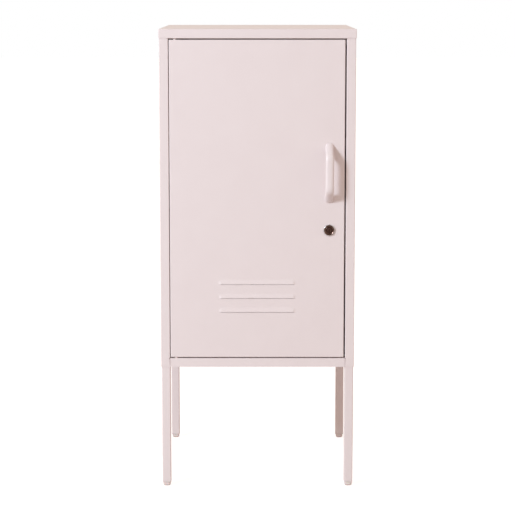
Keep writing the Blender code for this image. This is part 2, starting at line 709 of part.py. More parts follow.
def make_stiffener(door):
    """A hat channel down the back of the door's face, between its edges."""
    foot = SHEET + GAP + SHEET
    crown = SHEET + GAP + STIFFENER_RISE
    first = STIFFENER_START + STIFFENER_FOOT
    second = first + STIFFENER_WEB
    profile = [(STIFFENER_START, foot), (first, foot), (first, crown)]
    profile += [(second, crown), (second, foot), (second + STIFFENER_FOOT, foot)]
    panels = strip(profile, STIFFENER_END, DOOR_HEIGHT - STIFFENER_END)
    folded_sheet("door_stiffener", panels, (0, 1, 0), POWDER_COAT, door, bend=BEND / 2)


def handle_foot():
    """The distance from the handle's middle to the middle of each arm's foot on the door."""
    return (HANDLE_LENGTH - HANDLE_POST / math.cos(HANDLE_LEAN)) / 2


def handle_screw_heights():
    """The heights of the handle's two screws on the door, a little nearer its middle than its feet are."""
    offset = handle_foot() - HANDLE_SCREW_IN
    return (HANDLE_Z - offset, HANDLE_Z + offset)


def handle_stations():
    """The handle's centre line as (y, z, turn, thickness), from the lower foot up to the upper foot.

    Each arm leans towards the other, and bends round into the grip.
    """
    foot, lean = handle_foot(), HANDLE_LEAN
    grip_y = -(HANDLE_REACH - HANDLE_GRIP / 2)
    arc_y = grip_y + HANDLE_TURN
    arm_y = arc_y - HANDLE_TURN * math.sin(lean)
    arc_z = foot + arm_y * math.tan(lean) - HANDLE_TURN * math.cos(lean)
    half = [(-GAP, -foot, 0, HANDLE_POST / math.cos(lean))]
    half += [(y, -foot - y * math.tan(lean), lean, HANDLE_POST) for y in (0.3 * arm_y, 0.7 * arm_y)]
    steps = 6
    for step in range(steps + 1):
        share = step / steps
        turn = lean + share * (math.pi / 2 - lean)
        y = arc_y - HANDLE_TURN * math.sin(turn)
        z = -arc_z - HANDLE_TURN * math.cos(turn)
        half.append((y, z, turn, HANDLE_POST * (1 - share) + HANDLE_GRIP * share))
    mirrored = [(y, -z, math.pi - turn, thick) for y, z, turn, thick in reversed(half)]
    return half + [(grip_y, 0, math.pi / 2, HANDLE_GRIP)] + mirrored


def make_handle(door):
    """A rounded bar bent into a bow, with a threaded hole in each foot."""
    rings = []
    points, squareness = 16, 0.85
    for y, z, turn, thick in handle_stations():
        outer = Vector((0, -math.sin(turn), -math.cos(turn)))
        ring = []
        for index in range(points):
            angle = math.tau * index / points
            wide = math.copysign(abs(math.cos(angle)) ** squareness, math.cos(angle))
            deep = math.copysign(abs(math.sin(angle)) ** squareness, math.sin(angle))
            ring.append(Vector((wide * HANDLE_WIDTH / 2, y, z)) + outer * deep * thick / 2)
        rings.append(ring)
    place = (HANDLE_X, 0, HANDLE_Z)
    handle = add_piece("handle", loft(rings), POWDER_COAT, door, place, smooth=True)
    holes = bmesh.new()
    for z in handle_screw_heights():
        deep, clear = -HANDLE_SCREW_DEPTH - GAP, 5 * MM
        rod(HANDLE_SCREW + GAP, (0, deep, z - HANDLE_Z), (0, clear, z - HANDLE_Z), 12, holes)
    combine(handle, holes, "DIFFERENCE", "screw_holes")


def make_handle_screws(door):
    """The two screws that hold the handle from behind the door's face."""
    head, end = SHEET + GAP, -HANDLE_SCREW_DEPTH - SHEET
    profile = [(0, end), (HANDLE_SCREW - 0.5 * MM, end), (HANDLE_SCREW, end + 0.5 * MM), (HANDLE_SCREW, 0)]
    profile += [(4 * MM, 0), (4 * MM, 1.6 * MM), (2.6 * MM, 2.6 * MM), (0, 2.8 * MM)]
    for name, z in zip(("lower", "upper"), handle_screw_heights()):
        shape = turned(profile, 12, along_y=True)
        add_piece(f"handle_screw_{name}", shape, ZINC, door, (HANDLE_X, head, z), smooth=True)


# ---- lock ---------------------------------------------------------------------------------------
def make_lock_housing(lock):
    """The lock's bezel and barrel, turned in one, with a bore for the plug."""
    bore = PLUG_RADIUS + GAP
    profile = [
        (bore, BEZEL_FRONT + 1.6 * MM),
        (bore + 1.8 * MM, BEZEL_FRONT + 0.2 * MM),
        (bore + 2.8 * MM, BEZEL_FRONT),
        (LOCK_BEZEL - 1.6 * MM, BEZEL_FRONT + 0.5 * MM),
        (LOCK_BEZEL - 0.2 * MM, BEZEL_FRONT + 1.8 * MM),
        (LOCK_BEZEL, -GAP),
        (LOCK_BARREL, -GAP),
        (LOCK_BARREL, BARREL_END),
        (bore, BARREL_END),
    ]
    shape = turned(profile, 24, closed=True, along_y=True)
    add_piece("lock_housing", shape, CHROME, lock, smooth=True)


def make_lock_nut(lock):
    """The hexagon nut that clamps the lock to the door's sheet."""
    front, back = SHEET + GAP, SHEET + GAP + 4 * MM
    nut = add_piece("lock_nut", rod(12.8 * MM, (0, front, 0), (0, back, 0), 6), ZINC, lock)
    combine(nut, rod(LOCK_BARREL + GAP, (0, -MM, 0), (0, 9 * MM, 0), 24), "DIFFERENCE", "thread")


def make_lock_plug(turning):
    """The plug that the key turns, with its keyway in front and a screw hole behind."""
    front, back = BEZEL_FRONT + 1.4 * MM, BARREL_END + GAP
    profile = [(0, front), (PLUG_RADIUS, front), (PLUG_RADIUS, back), (CAM_HOLE, back)]
    profile += [(CAM_HOLE, 9 * MM), (0, 9 * MM)]
    plug = add_piece("lock_plug", turned(profile, 24, along_y=True), CHROME, turning, smooth=True)
    keyway = box((-0.9 * MM, front - MM, -4 * MM), (0.9 * MM, 4 * MM, 3.2 * MM))
    combine(plug, keyway, "DIFFERENCE", "keyway")


def make_lock_cam(turning):
    """The flat arm that swings behind the stile when the lock is turned. It points up when unlocked."""
    outline, steps = [], 8
    for radius, height, start in ((CAM_HUB, 0, math.pi), (CAM_TIP, CAM_REACH - CAM_TIP, 0)):
        for step in range(steps + 1):
            angle = start + step / steps * math.pi
            outline.append((radius * math.cos(angle), CAM_FRONT, height + radius * math.sin(angle)))
    cam = add_piece("lock_cam", prism(outline, Vector((0, CAM_THICK, 0))), ZINC, turning)
    hole = rod(CAM_HOLE, (0, CAM_FRONT - MM, 0), (0, CAM_BACK + MM, 0), 12)
    combine(cam, hole, "DIFFERENCE", "screw_hole")


def make_cam_screw(turning):
    """The screw that holds the cam on the plug's end."""
    seat = CAM_BACK + GAP
    profile = [(0, 9.6 * MM), (2 * MM, 9.9 * MM), (2 * MM, seat), (4.6 * MM, seat)]
    profile += [(4.6 * MM, seat + 1.4 * MM), (3.2 * MM, seat + 2.4 * MM), (0, seat + 2.5 * MM)]
    add_piece("cam_screw", turned(profile, 16, along_y=True), ZINC, turning, smooth=True)


def main():
    """Builds the whole cabinet."""
    clear_scene()
    carcass = axis_empty("carcass_frame", (0, FACE_Y, 0))
    make_top_panel(carcass)
    make_side_panel(carcass, "left_side_panel", -1)
    make_side_panel(carcass, "right_side_panel", 1)
    make_back_panel(carcass)
    make_bottom_panel(carcass)
    make_top_rail(carcass)
    make_cable_grommet(carcass)
    for corner in CORNERS:
        make_upright(carcass, corner)
        make_leg(carcass, corner)
        make_leg_bolts(carcass, corner)
        make_foot(carcass, corner)
        for level in SHELF_SLOTS:
            make_shelf_clip(carcass, level, corner)
    for level in SHELF_SLOTS:
        make_shelf(carcass, level)
    make_hinge_pin(carcass, "hinge_pin_upper", RAIL_BOTTOM + SHEET + GAP + PIN_HEAD, -1)
    make_hinge_pin(carcass, "hinge_pin_lower", FLOOR_TOP - SHEET - GAP - PIN_HEAD, 1)
    make_bumpers(carcass)
    make_catch(carcass)

    hinge = axis_empty("door_hinge_axis", (PIVOT_X, PIVOT_BACK, DOOR_BOTTOM), carcass)
    door = axis_empty("door_corner", (-PIVOT_IN, -PIVOT_BACK, 0), hinge)
    make_door_panel(door)
    make_stiffener(door)
    make_hinge_bush(door, "hinge_bush_upper", RAIL_BOTTOM - DOOR_BOTTOM - GAP, -1)
    make_hinge_bush(door, "hinge_bush_lower", FLOOR_TOP - DOOR_BOTTOM + GAP, 1)
    make_handle(door)
    make_handle_screws(door)

    lock = axis_empty("lock_axis", (LOCK_X, 0, LOCK_Z), door)
    make_lock_housing(lock)
    make_lock_nut(lock)
    make_lock_plug(lock)
    make_lock_cam(lock)
    make_cam_screw(lock)


if __name__ == "__main__":
    main()
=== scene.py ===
"""Looks of the locker cabinet: its folded sheets, fittings and finishes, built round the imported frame.

Every piece is drawn in metres in the frame's own axes: +X to the right, -Y to the front and +Z up. Profiles that
are turned, and the radii of holes, are in millimetres.
"""

import logging
import math
from collections.abc import Iterable, Sequence
from dataclasses import dataclass
from enum import Enum

import bmesh
import bpy
from mathutils import Matrix, Vector


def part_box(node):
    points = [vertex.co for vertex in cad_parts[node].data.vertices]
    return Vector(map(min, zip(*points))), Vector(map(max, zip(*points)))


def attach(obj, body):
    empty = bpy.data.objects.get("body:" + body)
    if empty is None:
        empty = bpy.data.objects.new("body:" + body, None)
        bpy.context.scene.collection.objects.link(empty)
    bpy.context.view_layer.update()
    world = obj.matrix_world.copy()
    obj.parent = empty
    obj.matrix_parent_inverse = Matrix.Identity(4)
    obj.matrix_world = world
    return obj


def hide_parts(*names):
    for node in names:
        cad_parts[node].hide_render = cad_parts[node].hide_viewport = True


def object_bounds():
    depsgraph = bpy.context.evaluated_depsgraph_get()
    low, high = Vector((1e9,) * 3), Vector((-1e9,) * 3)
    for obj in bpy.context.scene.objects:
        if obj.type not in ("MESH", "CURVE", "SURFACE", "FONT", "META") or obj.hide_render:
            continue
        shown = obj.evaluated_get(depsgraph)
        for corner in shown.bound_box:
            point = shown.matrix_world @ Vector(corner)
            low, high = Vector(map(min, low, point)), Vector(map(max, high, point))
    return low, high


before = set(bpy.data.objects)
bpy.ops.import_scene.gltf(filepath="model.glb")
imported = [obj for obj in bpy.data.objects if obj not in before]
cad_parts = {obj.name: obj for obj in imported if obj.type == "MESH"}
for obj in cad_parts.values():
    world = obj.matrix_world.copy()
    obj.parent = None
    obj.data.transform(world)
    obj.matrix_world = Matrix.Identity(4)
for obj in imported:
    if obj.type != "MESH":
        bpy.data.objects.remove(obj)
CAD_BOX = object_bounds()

LOG = logging.getLogger("locker_cabinet")
MM = 0.001
SHEET = 1.0 * MM
BEND = 1.6 * MM
TIGHT_BEND = 0.8 * MM
GAP = 0.3 * MM
WELD = 0.005 * MM
SMOOTH_BELOW = math.radians(35)
SEED = 7
ORIGIN = (0, 0, 0)
SIDES = {"left": -1, "right": 1}
BOLT_HOLE = 3.3
PIN_HOLE = 2.3
SCREW_HOLE = 1.8

Flat = Sequence[tuple[float, float]]
Place = Sequence[float]
Polygon = Sequence[Place]
Shape = bmesh.types.BMesh
Piece = bpy.types.Object
Tree = bpy.types.NodeTree
Socket = bpy.types.NodeSocket


class Slot(Enum):
    """The record's material slots."""

    POWDER_COAT = "powder_coat"
    ZINC_STEEL = "zinc_steel"
    CHROME = "chrome"
    NYLON = "nylon"
    RUBBER = "rubber"
    DARK_PLASTIC = "dark_plastic"


class Body(Enum):
    """The bodies that pieces ride on."""

    CABINET = "cabinet"
    DOOR = "door"
    LOCK = "lock_cylinder"
    UPPER_SHELF = "upper_shelf_tray"
    LOWER_SHELF = "lower_shelf_tray"


class Axis(Enum):
    """The way that a turned piece's profile runs."""

    UP = (0, 0, 1)
    BACK = (0, 1, 0)


class Corner(Enum):
    """The cabinet's four corners, as the signs of x and y."""

    FRONT_LEFT = (-1, -1)
    FRONT_RIGHT = (1, -1)
    REAR_LEFT = (-1, 1)
    REAR_RIGHT = (1, 1)

    @property
    def label(self) -> str:
        """The corner's name as the frame's nodes spell it."""
        return self.name.lower()

    @property
    def bolts(self) -> list[str]:
        """The nodes of the two bolts in the corner's leg."""
        return [f"leg_bolt_{self.label}_{number}" for number in (1, 2)]


# ---- nodes --------------------------------------------------------------------------------------
def add_node(tree: Tree, kind: str, settings: dict | None = None, inputs: dict | None = None) -> bpy.types.Node:
    """Adds a node with its settings and links.

    Args:
        tree: The node tree.
        kind: The node's type.
        settings: The node's properties by name.
        inputs: A constant or a socket to link from, by the input's name or index.

    Returns:
        The new node.
    """
    node = tree.nodes.new(kind)
    for name, value in (settings or {}).items():
        setattr(node, name, value)
    for key, value in (inputs or {}).items():
        if isinstance(value, Socket):
            tree.links.new(value, node.inputs[key])
        else:
            node.inputs[key].default_value = value
    return node


def blank_tree(owner: bpy.types.Material | bpy.types.World) -> Tree:
    """Switches on a material's or the world's nodes, and clears them."""
    owner.use_nodes = True
    owner.node_tree.nodes.clear()
    return owner.node_tree


def seen_or_lighting(tree: Tree, seen: bpy.types.Node, lighting: bpy.types.Node) -> Socket:
    """Gives the eye one shader, and every other ray another."""
    eye = add_node(tree, "ShaderNodeLightPath").outputs["Is Camera Ray"]
    inputs = {0: eye, 1: lighting.outputs[0], 2: seen.outputs[0]}
    return add_node(tree, "ShaderNodeMixShader", inputs=inputs).outputs[0]


def linear(code: str) -> tuple[float, float, float, float]:
    """Turns an sRGB hex colour into linear light.

    Args:
        code: Six hexadecimal digits.

    Returns:
        Red, green, blue and an alpha of 1.
    """
    channels = [int(code[start:start + 2], 16) / 255 for start in (0, 2, 4)]
    light = [c / 12.92 if c <= 0.04045 else ((c + 0.055) / 1.055) ** 2.4 for c in channels]
    return (*light, 1.0)


# ---- finishes -----------------------------------------------------------------------------------
@dataclass(frozen=True)
class Finish:
    """A surface finish: a mottled colour, a roughness that drifts, and a relief.

    Attributes:
        name: What the real surface is called.
        slot: The record's slot for this finish. It is not used.
        colours: The two sRGB ends of the mottling.
        mottle_mm: The size of the mottling.
        roughness: The mean roughness.
        drift: How far the roughness strays from its mean.
        relief_mm: The size and depth of each layer of relief.
        metallic: 1 for bare metal.
        ior: The index of refraction of what isn't metal.
        subsurface: The share of the light that enters and scatters.
        stretch: How the relief is drawn out along x, y and z.
    """

    name: str
    slot: Slot
    colours: tuple[str, str]
    mottle_mm: float
    roughness: float
    drift: float
    relief_mm: tuple[tuple[float, float], ...]
    metallic: float = 0.0
    ior: float = 1.5
    subsurface: float = 0.0
    stretch: tuple[float, float, float] = (1.0, 1.0, 1.0)

    def noise(self, tree: Tree, place: Socket, size_mm: float, detail: float = 2.0) -> Socket:
        """Adds noise with features of a real size, and returns its value."""
        inputs = {"Vector": place, "Scale": 1 / (size_mm * MM), "Detail": detail, "Roughness": 0.55}
        return add_node(tree, "ShaderNodeTexNoise", inputs=inputs).outputs[0]

    def material(self) -> bpy.types.Material:
        """Draws the finish the first time, and returns the same material after that."""
        known = bpy.data.materials.get(self.name)
        if known:
            return known
        material = bpy.data.materials.new(self.name)
        tree = blank_tree(material)
        place = add_node(tree, "ShaderNodeTexCoord").outputs["Object"]
        mottle = self.noise(tree, place, self.mottle_mm, 3.0)
        inputs = {0: mottle, 6: linear(self.colours[0]), 7: linear(self.colours[1])}
        colour = add_node(tree, "ShaderNodeMix", {"data_type": "RGBA"}, inputs)
        inputs = {
            "Value": self.noise(tree, place, self.mottle_mm / 3),
            "From Min": 0.3,
            "From Max": 0.7,
            "To Min": self.roughness - self.drift,
            "To Max": self.roughness + self.drift,
        }
        gloss = add_node(tree, "ShaderNodeMapRange", inputs=inputs)
        drawn = add_node(tree, "ShaderNodeMapping", inputs={"Vector": place, "Scale": self.stretch})
        inputs = {
            "Base Color": colour.outputs[2],
            "Roughness": gloss.outputs[0],
            "Metallic": self.metallic,
            "Normal": self.relief(tree, drawn.outputs[0]),
        }
        if not self.metallic:
            inputs["IOR"] = self.ior
        if self.subsurface:
            inputs |= {"Subsurface Weight": self.subsurface, "Subsurface Scale": 2 * MM}
        shader = add_node(tree, "ShaderNodeBsdfPrincipled", inputs=inputs)
        add_node(tree, "ShaderNodeOutputMaterial", inputs={"Surface": shader.outputs[0]})
        return material

    def relief(self, tree: Tree, place: Socket) -> Socket:
        """Stacks the layers of relief, and returns the bumped normal."""
        normal = None
        for size_mm, depth_mm in self.relief_mm:
            inputs = {"Height": self.noise(tree, place, size_mm), "Strength": 1.0, "Distance": depth_mm * MM}
            if normal:
                inputs["Normal"] = normal
            normal = add_node(tree, "ShaderNodeBump", inputs=inputs).outputs[0]
        return normal


# Polyester powder baked on steel. The eye sees an even, pale satin skin with a faint orange peel. The real
# peel is about 1.5 mm across, and is drawn twice as coarse so that it shows.
POWDER_COAT = Finish(
    "blush_polyester_powder_coat_on_steel",
    Slot.POWDER_COAT,
    ("E6D8D8", "EADDDD"),
    mottle_mm=70,
    roughness=0.42,
    drift=0.04,
    relief_mm=((60, 0.05), (3.0, 0.010), (1.0, 0.004)),
)

# Bright zinc plate on pressed steel. The eye sees a cool grey sheen with a fine crystalline haze.
ZINC_PLATE = Finish(
    "bright_zinc_plated_steel",
    Slot.ZINC_STEEL,
    ("B4B8BC", "CDCFD0"),
    mottle_mm=5,
    roughness=0.32,
    drift=0.08,
    relief_mm=((2.2, 0.02), (0.5, 0.006)),
    metallic=1.0,
)

# Chrome plate, polished before plating. The eye sees hard reflections broken by hairline polishing marks.
CHROME_PLATE = Finish(
    "polished_chrome_plate",
    Slot.CHROME,
    ("C9C6C6", "D9D6D6"),
    mottle_mm=9,
    roughness=0.16,
    drift=0.04,
    relief_mm=((0.5, 0.003),),
    metallic=1.0,
    stretch=(1.0, 1.0, 14.0),
)

# Chrome on the lock's plug and dished face, painted dark brown: the colour is a painted reflection of a dark
# room, standing in for what the chrome mirrors. The eye sees a dark brown metal with a soft highlight, which
# comes from the lights.
CHROME_WITH_PAINTED_DARK_REFLECTION = Finish(
    "black_nickel_plate",
    Slot.CHROME,
    ("5A443D", "7A625A"),
    mottle_mm=3,
    roughness=0.26,
    drift=0.06,
    relief_mm=((0.6, 0.004),),
    metallic=1.0,
    stretch=(1.0, 1.0, 9.0),
)

# Nylon moulded in a spark-eroded tool. The eye sees a matt, slightly translucent off-white.
NYLON = Finish(
    "moulded_blush_nylon",
    Slot.NYLON,
    ("E2D3D1", "E9DCDA"),
    mottle_mm=12,
    roughness=0.48,
    drift=0.05,
    relief_mm=((0.7, 0.02),),
    ior=1.53,
    subsurface=0.12,
)

# Moulded nitrile rubber. The eye sees a dull black with a dusty bloom.
RUBBER = Finish(
    "moulded_nitrile_rubber",
    Slot.RUBBER,
    ("1F1E1E", "2D2B2B"),
    mottle_mm=8,
    roughness=0.72,
    drift=0.08,
    relief_mm=((0.8, 0.03),),
    ior=1.52,
)

# Injection-moulded ABS with a fine etched grain. The eye sees a dark grey that scatters its highlight.
BLACK_ABS = Finish(
    "grained_charcoal_abs",
    Slot.DARK_PLASTIC,
    ("2B2B2D", "38383A"),
    mottle_mm=10,
    roughness=0.5,
    drift=0.05,
    relief_mm=((0.9, 0.03),),
    ior=1.54,
)

# Sintered ferrite, the catch's magnet. The eye sees a sooty grey with ground faces.
FERRITE = Finish(
    "sintered_ferrite",
    Slot.DARK_PLASTIC,
    ("262527", "343335"),
    mottle_mm=4,
    roughness=0.62,
    drift=0.08,
    relief_mm=((0.4, 0.02),),
    ior=1.9,
)


# ---- shapes -------------------------------------------------------------------------------------
def joined(faces: Iterable[Polygon]) -> Shape:
    """Joins polygons that share corners into one mesh, with its faces turned the same way."""
    shape = bmesh.new()
    for face in faces:
        shape.faces.new([shape.verts.new(point) for point in face])
    bmesh.ops.remove_doubles(shape, verts=shape.verts, dist=WELD)
    bmesh.ops.recalc_face_normals(shape, faces=shape.faces)
    return shape


def block(low: Place, high: Place) -> Shape:
    """A block between two corners, to be cut with or to have its edges softened."""
    shape = bmesh.new()
    low, high = Vector(low), Vector(high)
    place = Matrix.Translation((low + high) / 2) @ Matrix.Diagonal((*(high - low), 1))
    bmesh.ops.create_cube(shape, size=1, matrix=place)
    return shape


def extruded(outline: Polygon, rise: Place) -> Shape:
    """A flat outline drawn out along a vector, and closed at both ends."""
    shape = bmesh.new()
    face = shape.faces.new([shape.verts.new(point) for point in outline])
    grown = bmesh.ops.extrude_face_region(shape, geom=[face], use_keep_orig=True)
    moved = [item for item in grown["geom"] if isinstance(item, bmesh.types.BMVert)]
    bmesh.ops.translate(shape, verts=moved, vec=rise)
    bmesh.ops.recalc_face_normals(shape, faces=shape.faces)
    return shape


def turned(profile: Flat, place: Place, axis: Axis, ring: bool = False, sides: int = 48) -> Shape:
    """Turns a profile round an axis.

    Args:
        profile: Points of radius and height, in millimetres.
        place: Where the axis starts.
        axis: The way that heights run.
        ring: Whether the profile closes on itself, as a ring's does.
        sides: The number of sides.

    Returns:
        The closed mesh.
    """
    shape = bmesh.new()
    verts = [shape.verts.new((radius * MM, 0, height * MM)) for radius, height in profile]
    pairs = list(zip(verts, verts[1:])) + ([(verts[-1], verts[0])] if ring else [])
    geometry = verts + [shape.edges.new(pair) for pair in pairs]
    way = {"cent": ORIGIN, "axis": Axis.UP.value, "angle": math.tau}
    bmesh.ops.spin(shape, geom=geometry, steps=sides, use_merge=True, **way)
    bmesh.ops.remove_doubles(shape, verts=shape.verts, dist=WELD)
    bmesh.ops.recalc_face_normals(shape, faces=shape.faces)
    if axis is Axis.BACK:
        bmesh.ops.rotate(shape, verts=shape.verts, matrix=Matrix.Rotation(-math.pi / 2, 3, "X"))
    bmesh.ops.translate(shape, verts=shape.verts, vec=place)
    return shape


def lofted(rings: Sequence[Polygon]) -> Shape:
    """A closed solid through rings of equal point counts."""
    shape = bmesh.new()
    loops = [[shape.verts.new(point) for point in ring] for ring in rings]
    count = len(loops[0])
    for lower, upper in zip(loops, loops[1:]):
        for index in range(count):
            after = (index + 1) % count
            shape.faces.new((lower[index], lower[after], upper[after], upper[index]))
    shape.faces.new(reversed(loops[0]))
    shape.faces.new(loops[-1])
    bmesh.ops.recalc_face_normals(shape, faces=shape.faces)
    return shape


def rounded(outline: Flat, radius: float, steps: int = 6) -> list[tuple[float, float]]:
    """Rounds the corners of a flat outline.

    Args:
        outline: The sharp corners, in order.
        radius: The corners' radius.
        steps: The number of straight pieces in each corner.

    Returns:
        The rounded outline.
    """
    points = []
    corners = [Vector(point) for point in outline]
    for index, corner in enumerate(corners):
        start = (corners[index - 1] - corner).normalized()
        end = (corners[(index + 1) % len(corners)] - corner).normalized()
        half = start.angle(end) / 2
        middle = corner + (start + end).normalized() * radius / math.sin(half)
        first = (corner + start * radius / math.tan(half) - middle).normalized()
        last = (corner + end * radius / math.tan(half) - middle).normalized()
        points += [tuple(middle + first.slerp(last, step / steps) * radius) for step in range(steps + 1)]
    return points


def oblong(wide: float, tall: float) -> list[tuple[float, float]]:
    """A rectangle's corners, from its half width and its half height."""
    return [(-wide, -tall), (wide, -tall), (wide, tall), (-wide, tall)]


def hexagon(reach: float) -> list[tuple[float, float]]:
    """A hexagon's corners, this far from its middle."""
    angles = [side * math.pi / 3 for side in range(6)]
    return [(reach * math.cos(angle), reach * math.sin(angle)) for angle in angles]


def rounded_square(middle: Vector, half: float, radius: float, height: float, steps: int = 6) -> list[Vector]:
    """A level ring in the shape of a square with round corners."""
    square = [(half, half), (-half, half), (-half, -half), (half, -half)]
    return [Vector((middle.x + x, middle.y + y, height)) for x, y in rounded(square, radius, steps)]


def strip(points: Flat, low: float, high: float) -> list[Polygon]:
    """Upright panels along a line of x and y points."""
    return [[(*a, low), (*b, low), (*b, high), (*a, high)] for a, b in zip(points, points[1:])]


def ease(share: float) -> float:
    """A smooth rise from 0 to 1, level at both ends."""
    share = min(max(share, 0.0), 1.0)
    return share * share * (3 - 2 * share)


def spaced(start: float, end: float, count: int) -> list[float]:
    """Evenly spaced values from start to end, both included."""
    return [start + (end - start) * index / count for index in range(count + 1)]


def middle_of(node: str) -> Vector:
    """The middle of a CAD node's box."""
    return sum(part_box(node), Vector()) / 2


# ---- pieces -------------------------------------------------------------------------------------
def in_scene(name: str, data: bpy.types.ID) -> Piece:
    """Puts a mesh, a camera or a light into the scene."""
    item = bpy.data.objects.new(name, data)
    bpy.context.scene.collection.objects.link(item)
    return item


def as_piece(name: str, shape: Shape) -> Piece:
    """Makes a scene object of a mesh."""
    mesh = bpy.data.meshes.new(name)
    shape.to_mesh(mesh)
    shape.free()
    return in_scene(name, mesh)


def settle(piece: Piece) -> Piece:
    """Bakes a piece's modifiers into a plain mesh and takes them off."""
    graph = bpy.context.evaluated_depsgraph_get()
    graph.update()
    baked = piece.evaluated_get(graph)
    mesh = bpy.data.meshes.new_from_object(baked, preserve_all_data_layers=True, depsgraph=graph)
    piece.modifiers.clear()
    piece.data = mesh
    mesh.name = piece.name
    return piece


def combine(piece: Piece, shape: Shape, operation: str) -> Piece:
    """Cuts a shape out of a piece, joins it on, or keeps only what both share.

    Args:
        piece: The piece to change.
        shape: The tool, which is used up.
        operation: DIFFERENCE, UNION or INTERSECT.

    Returns:
        The same piece.
    """
    tool = as_piece(f"{piece.name}_tool", shape)
    change = piece.modifiers.new("combine", "BOOLEAN")
    change.operation = operation
    change.object = tool
    change.solver = "EXACT"
    settle(piece)
    bpy.data.objects.remove(tool)
    return piece


def drill(
    piece: Piece, place: Place, radius: float, axis: Axis, ends: Sequence[float] = (-4, 4), sides: int = 32
) -> None:
    """Cuts a round hole through a piece.

    Args:
        piece: The piece to drill.
        place: A point on the hole's axis.
        radius: The hole's radius in millimetres.
        axis: The way that the hole runs.
        ends: Where it starts and ends, in millimetres from the point.
        sides: The number of sides.
    """
    first, last = ends
    bit = turned([(0, first), (radius, first), (radius, last), (0, last)], place, axis, sides=sides)
    combine(piece, bit, "DIFFERENCE")


def soften(piece: Piece, radius: float, segments: int = 3) -> Piece:
    """Breaks every sharp edge of a solid with a small radius."""
    edge = piece.modifiers.new("edges", "BEVEL")
    edge.width = radius
    edge.segments = segments
    edge.limit_method = "ANGLE"
    edge.angle_limit = SMOOTH_BELOW
    edge.harden_normals = False
    return settle(piece)


def folded(name: str, panels: Iterable[Polygon], outward: Place, bend: float = BEND) -> Piece:
    """Folds sheet metal: flat panels, bent round where they meet and given the sheet's thickness.

    Args:
        name: The piece's name.
        panels: The outer surface as polygons.
        outward: The way that the first panel faces.
        bend: The outside radius of the folds.

    Returns:
        The sheet, one millimetre thick.
    """
    shape = joined(panels)
    shape.faces.ensure_lookup_table()
    if shape.faces[0].normal.dot(Vector(outward)) < 0:
        bmesh.ops.reverse_faces(shape, faces=shape.faces)
    piece = as_piece(name, shape)
    fold = piece.modifiers.new("folds", "BEVEL")
    fold.width = bend
    fold.segments = 5
    fold.limit_method = "ANGLE"
    fold.angle_limit = math.radians(80)
    wall = piece.modifiers.new("wall", "SOLIDIFY")
    wall.thickness = SHEET
    wall.offset = -1
    wall.use_even_offset = True
    return settle(piece)


def deliver(piece: Piece, finish: Finish, body: Body, nodes: Iterable[str] = ()) -> None:
    """Shades and paints a finished piece, and fixes it to its body.

    Args:
        piece: The piece, with its place in its mesh.
        finish: What its surface is.
        body: The body that it rides on.
        nodes: The CAD nodes that it stands for.
    """
    piece.data.shade_smooth()
    piece.data.set_sharp_from_angle(angle=SMOOTH_BELOW)
    weighted = piece.modifiers.new("weighted", "WEIGHTED_NORMAL")
    weighted.keep_sharp = True
    weighted.weight = 60
    settle(piece)
    piece.data.materials.clear()
    piece.data.materials.append(finish.material())
    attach(piece, body.value)
    if nodes:
        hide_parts(*nodes)
    LOG.info("%s: %d faces in %s", piece.name, len(piece.data.polygons), finish.name)


def deliver_lid(name: str, node: str, body: Body) -> None:
    """A painted sheet in a node's box, with a lip turned down on all four sides."""
    low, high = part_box(node)
    corners = [(low.x, low.y), (high.x, low.y), (high.x, high.y), (low.x, high.y)]
    plate = [(*corner, high.z) for corner in corners]
    panels = [plate] + strip(corners + corners[:1], low.z, high.z)
    deliver(folded(name, panels, (0, 0, 1)), POWDER_COAT, body, [node])


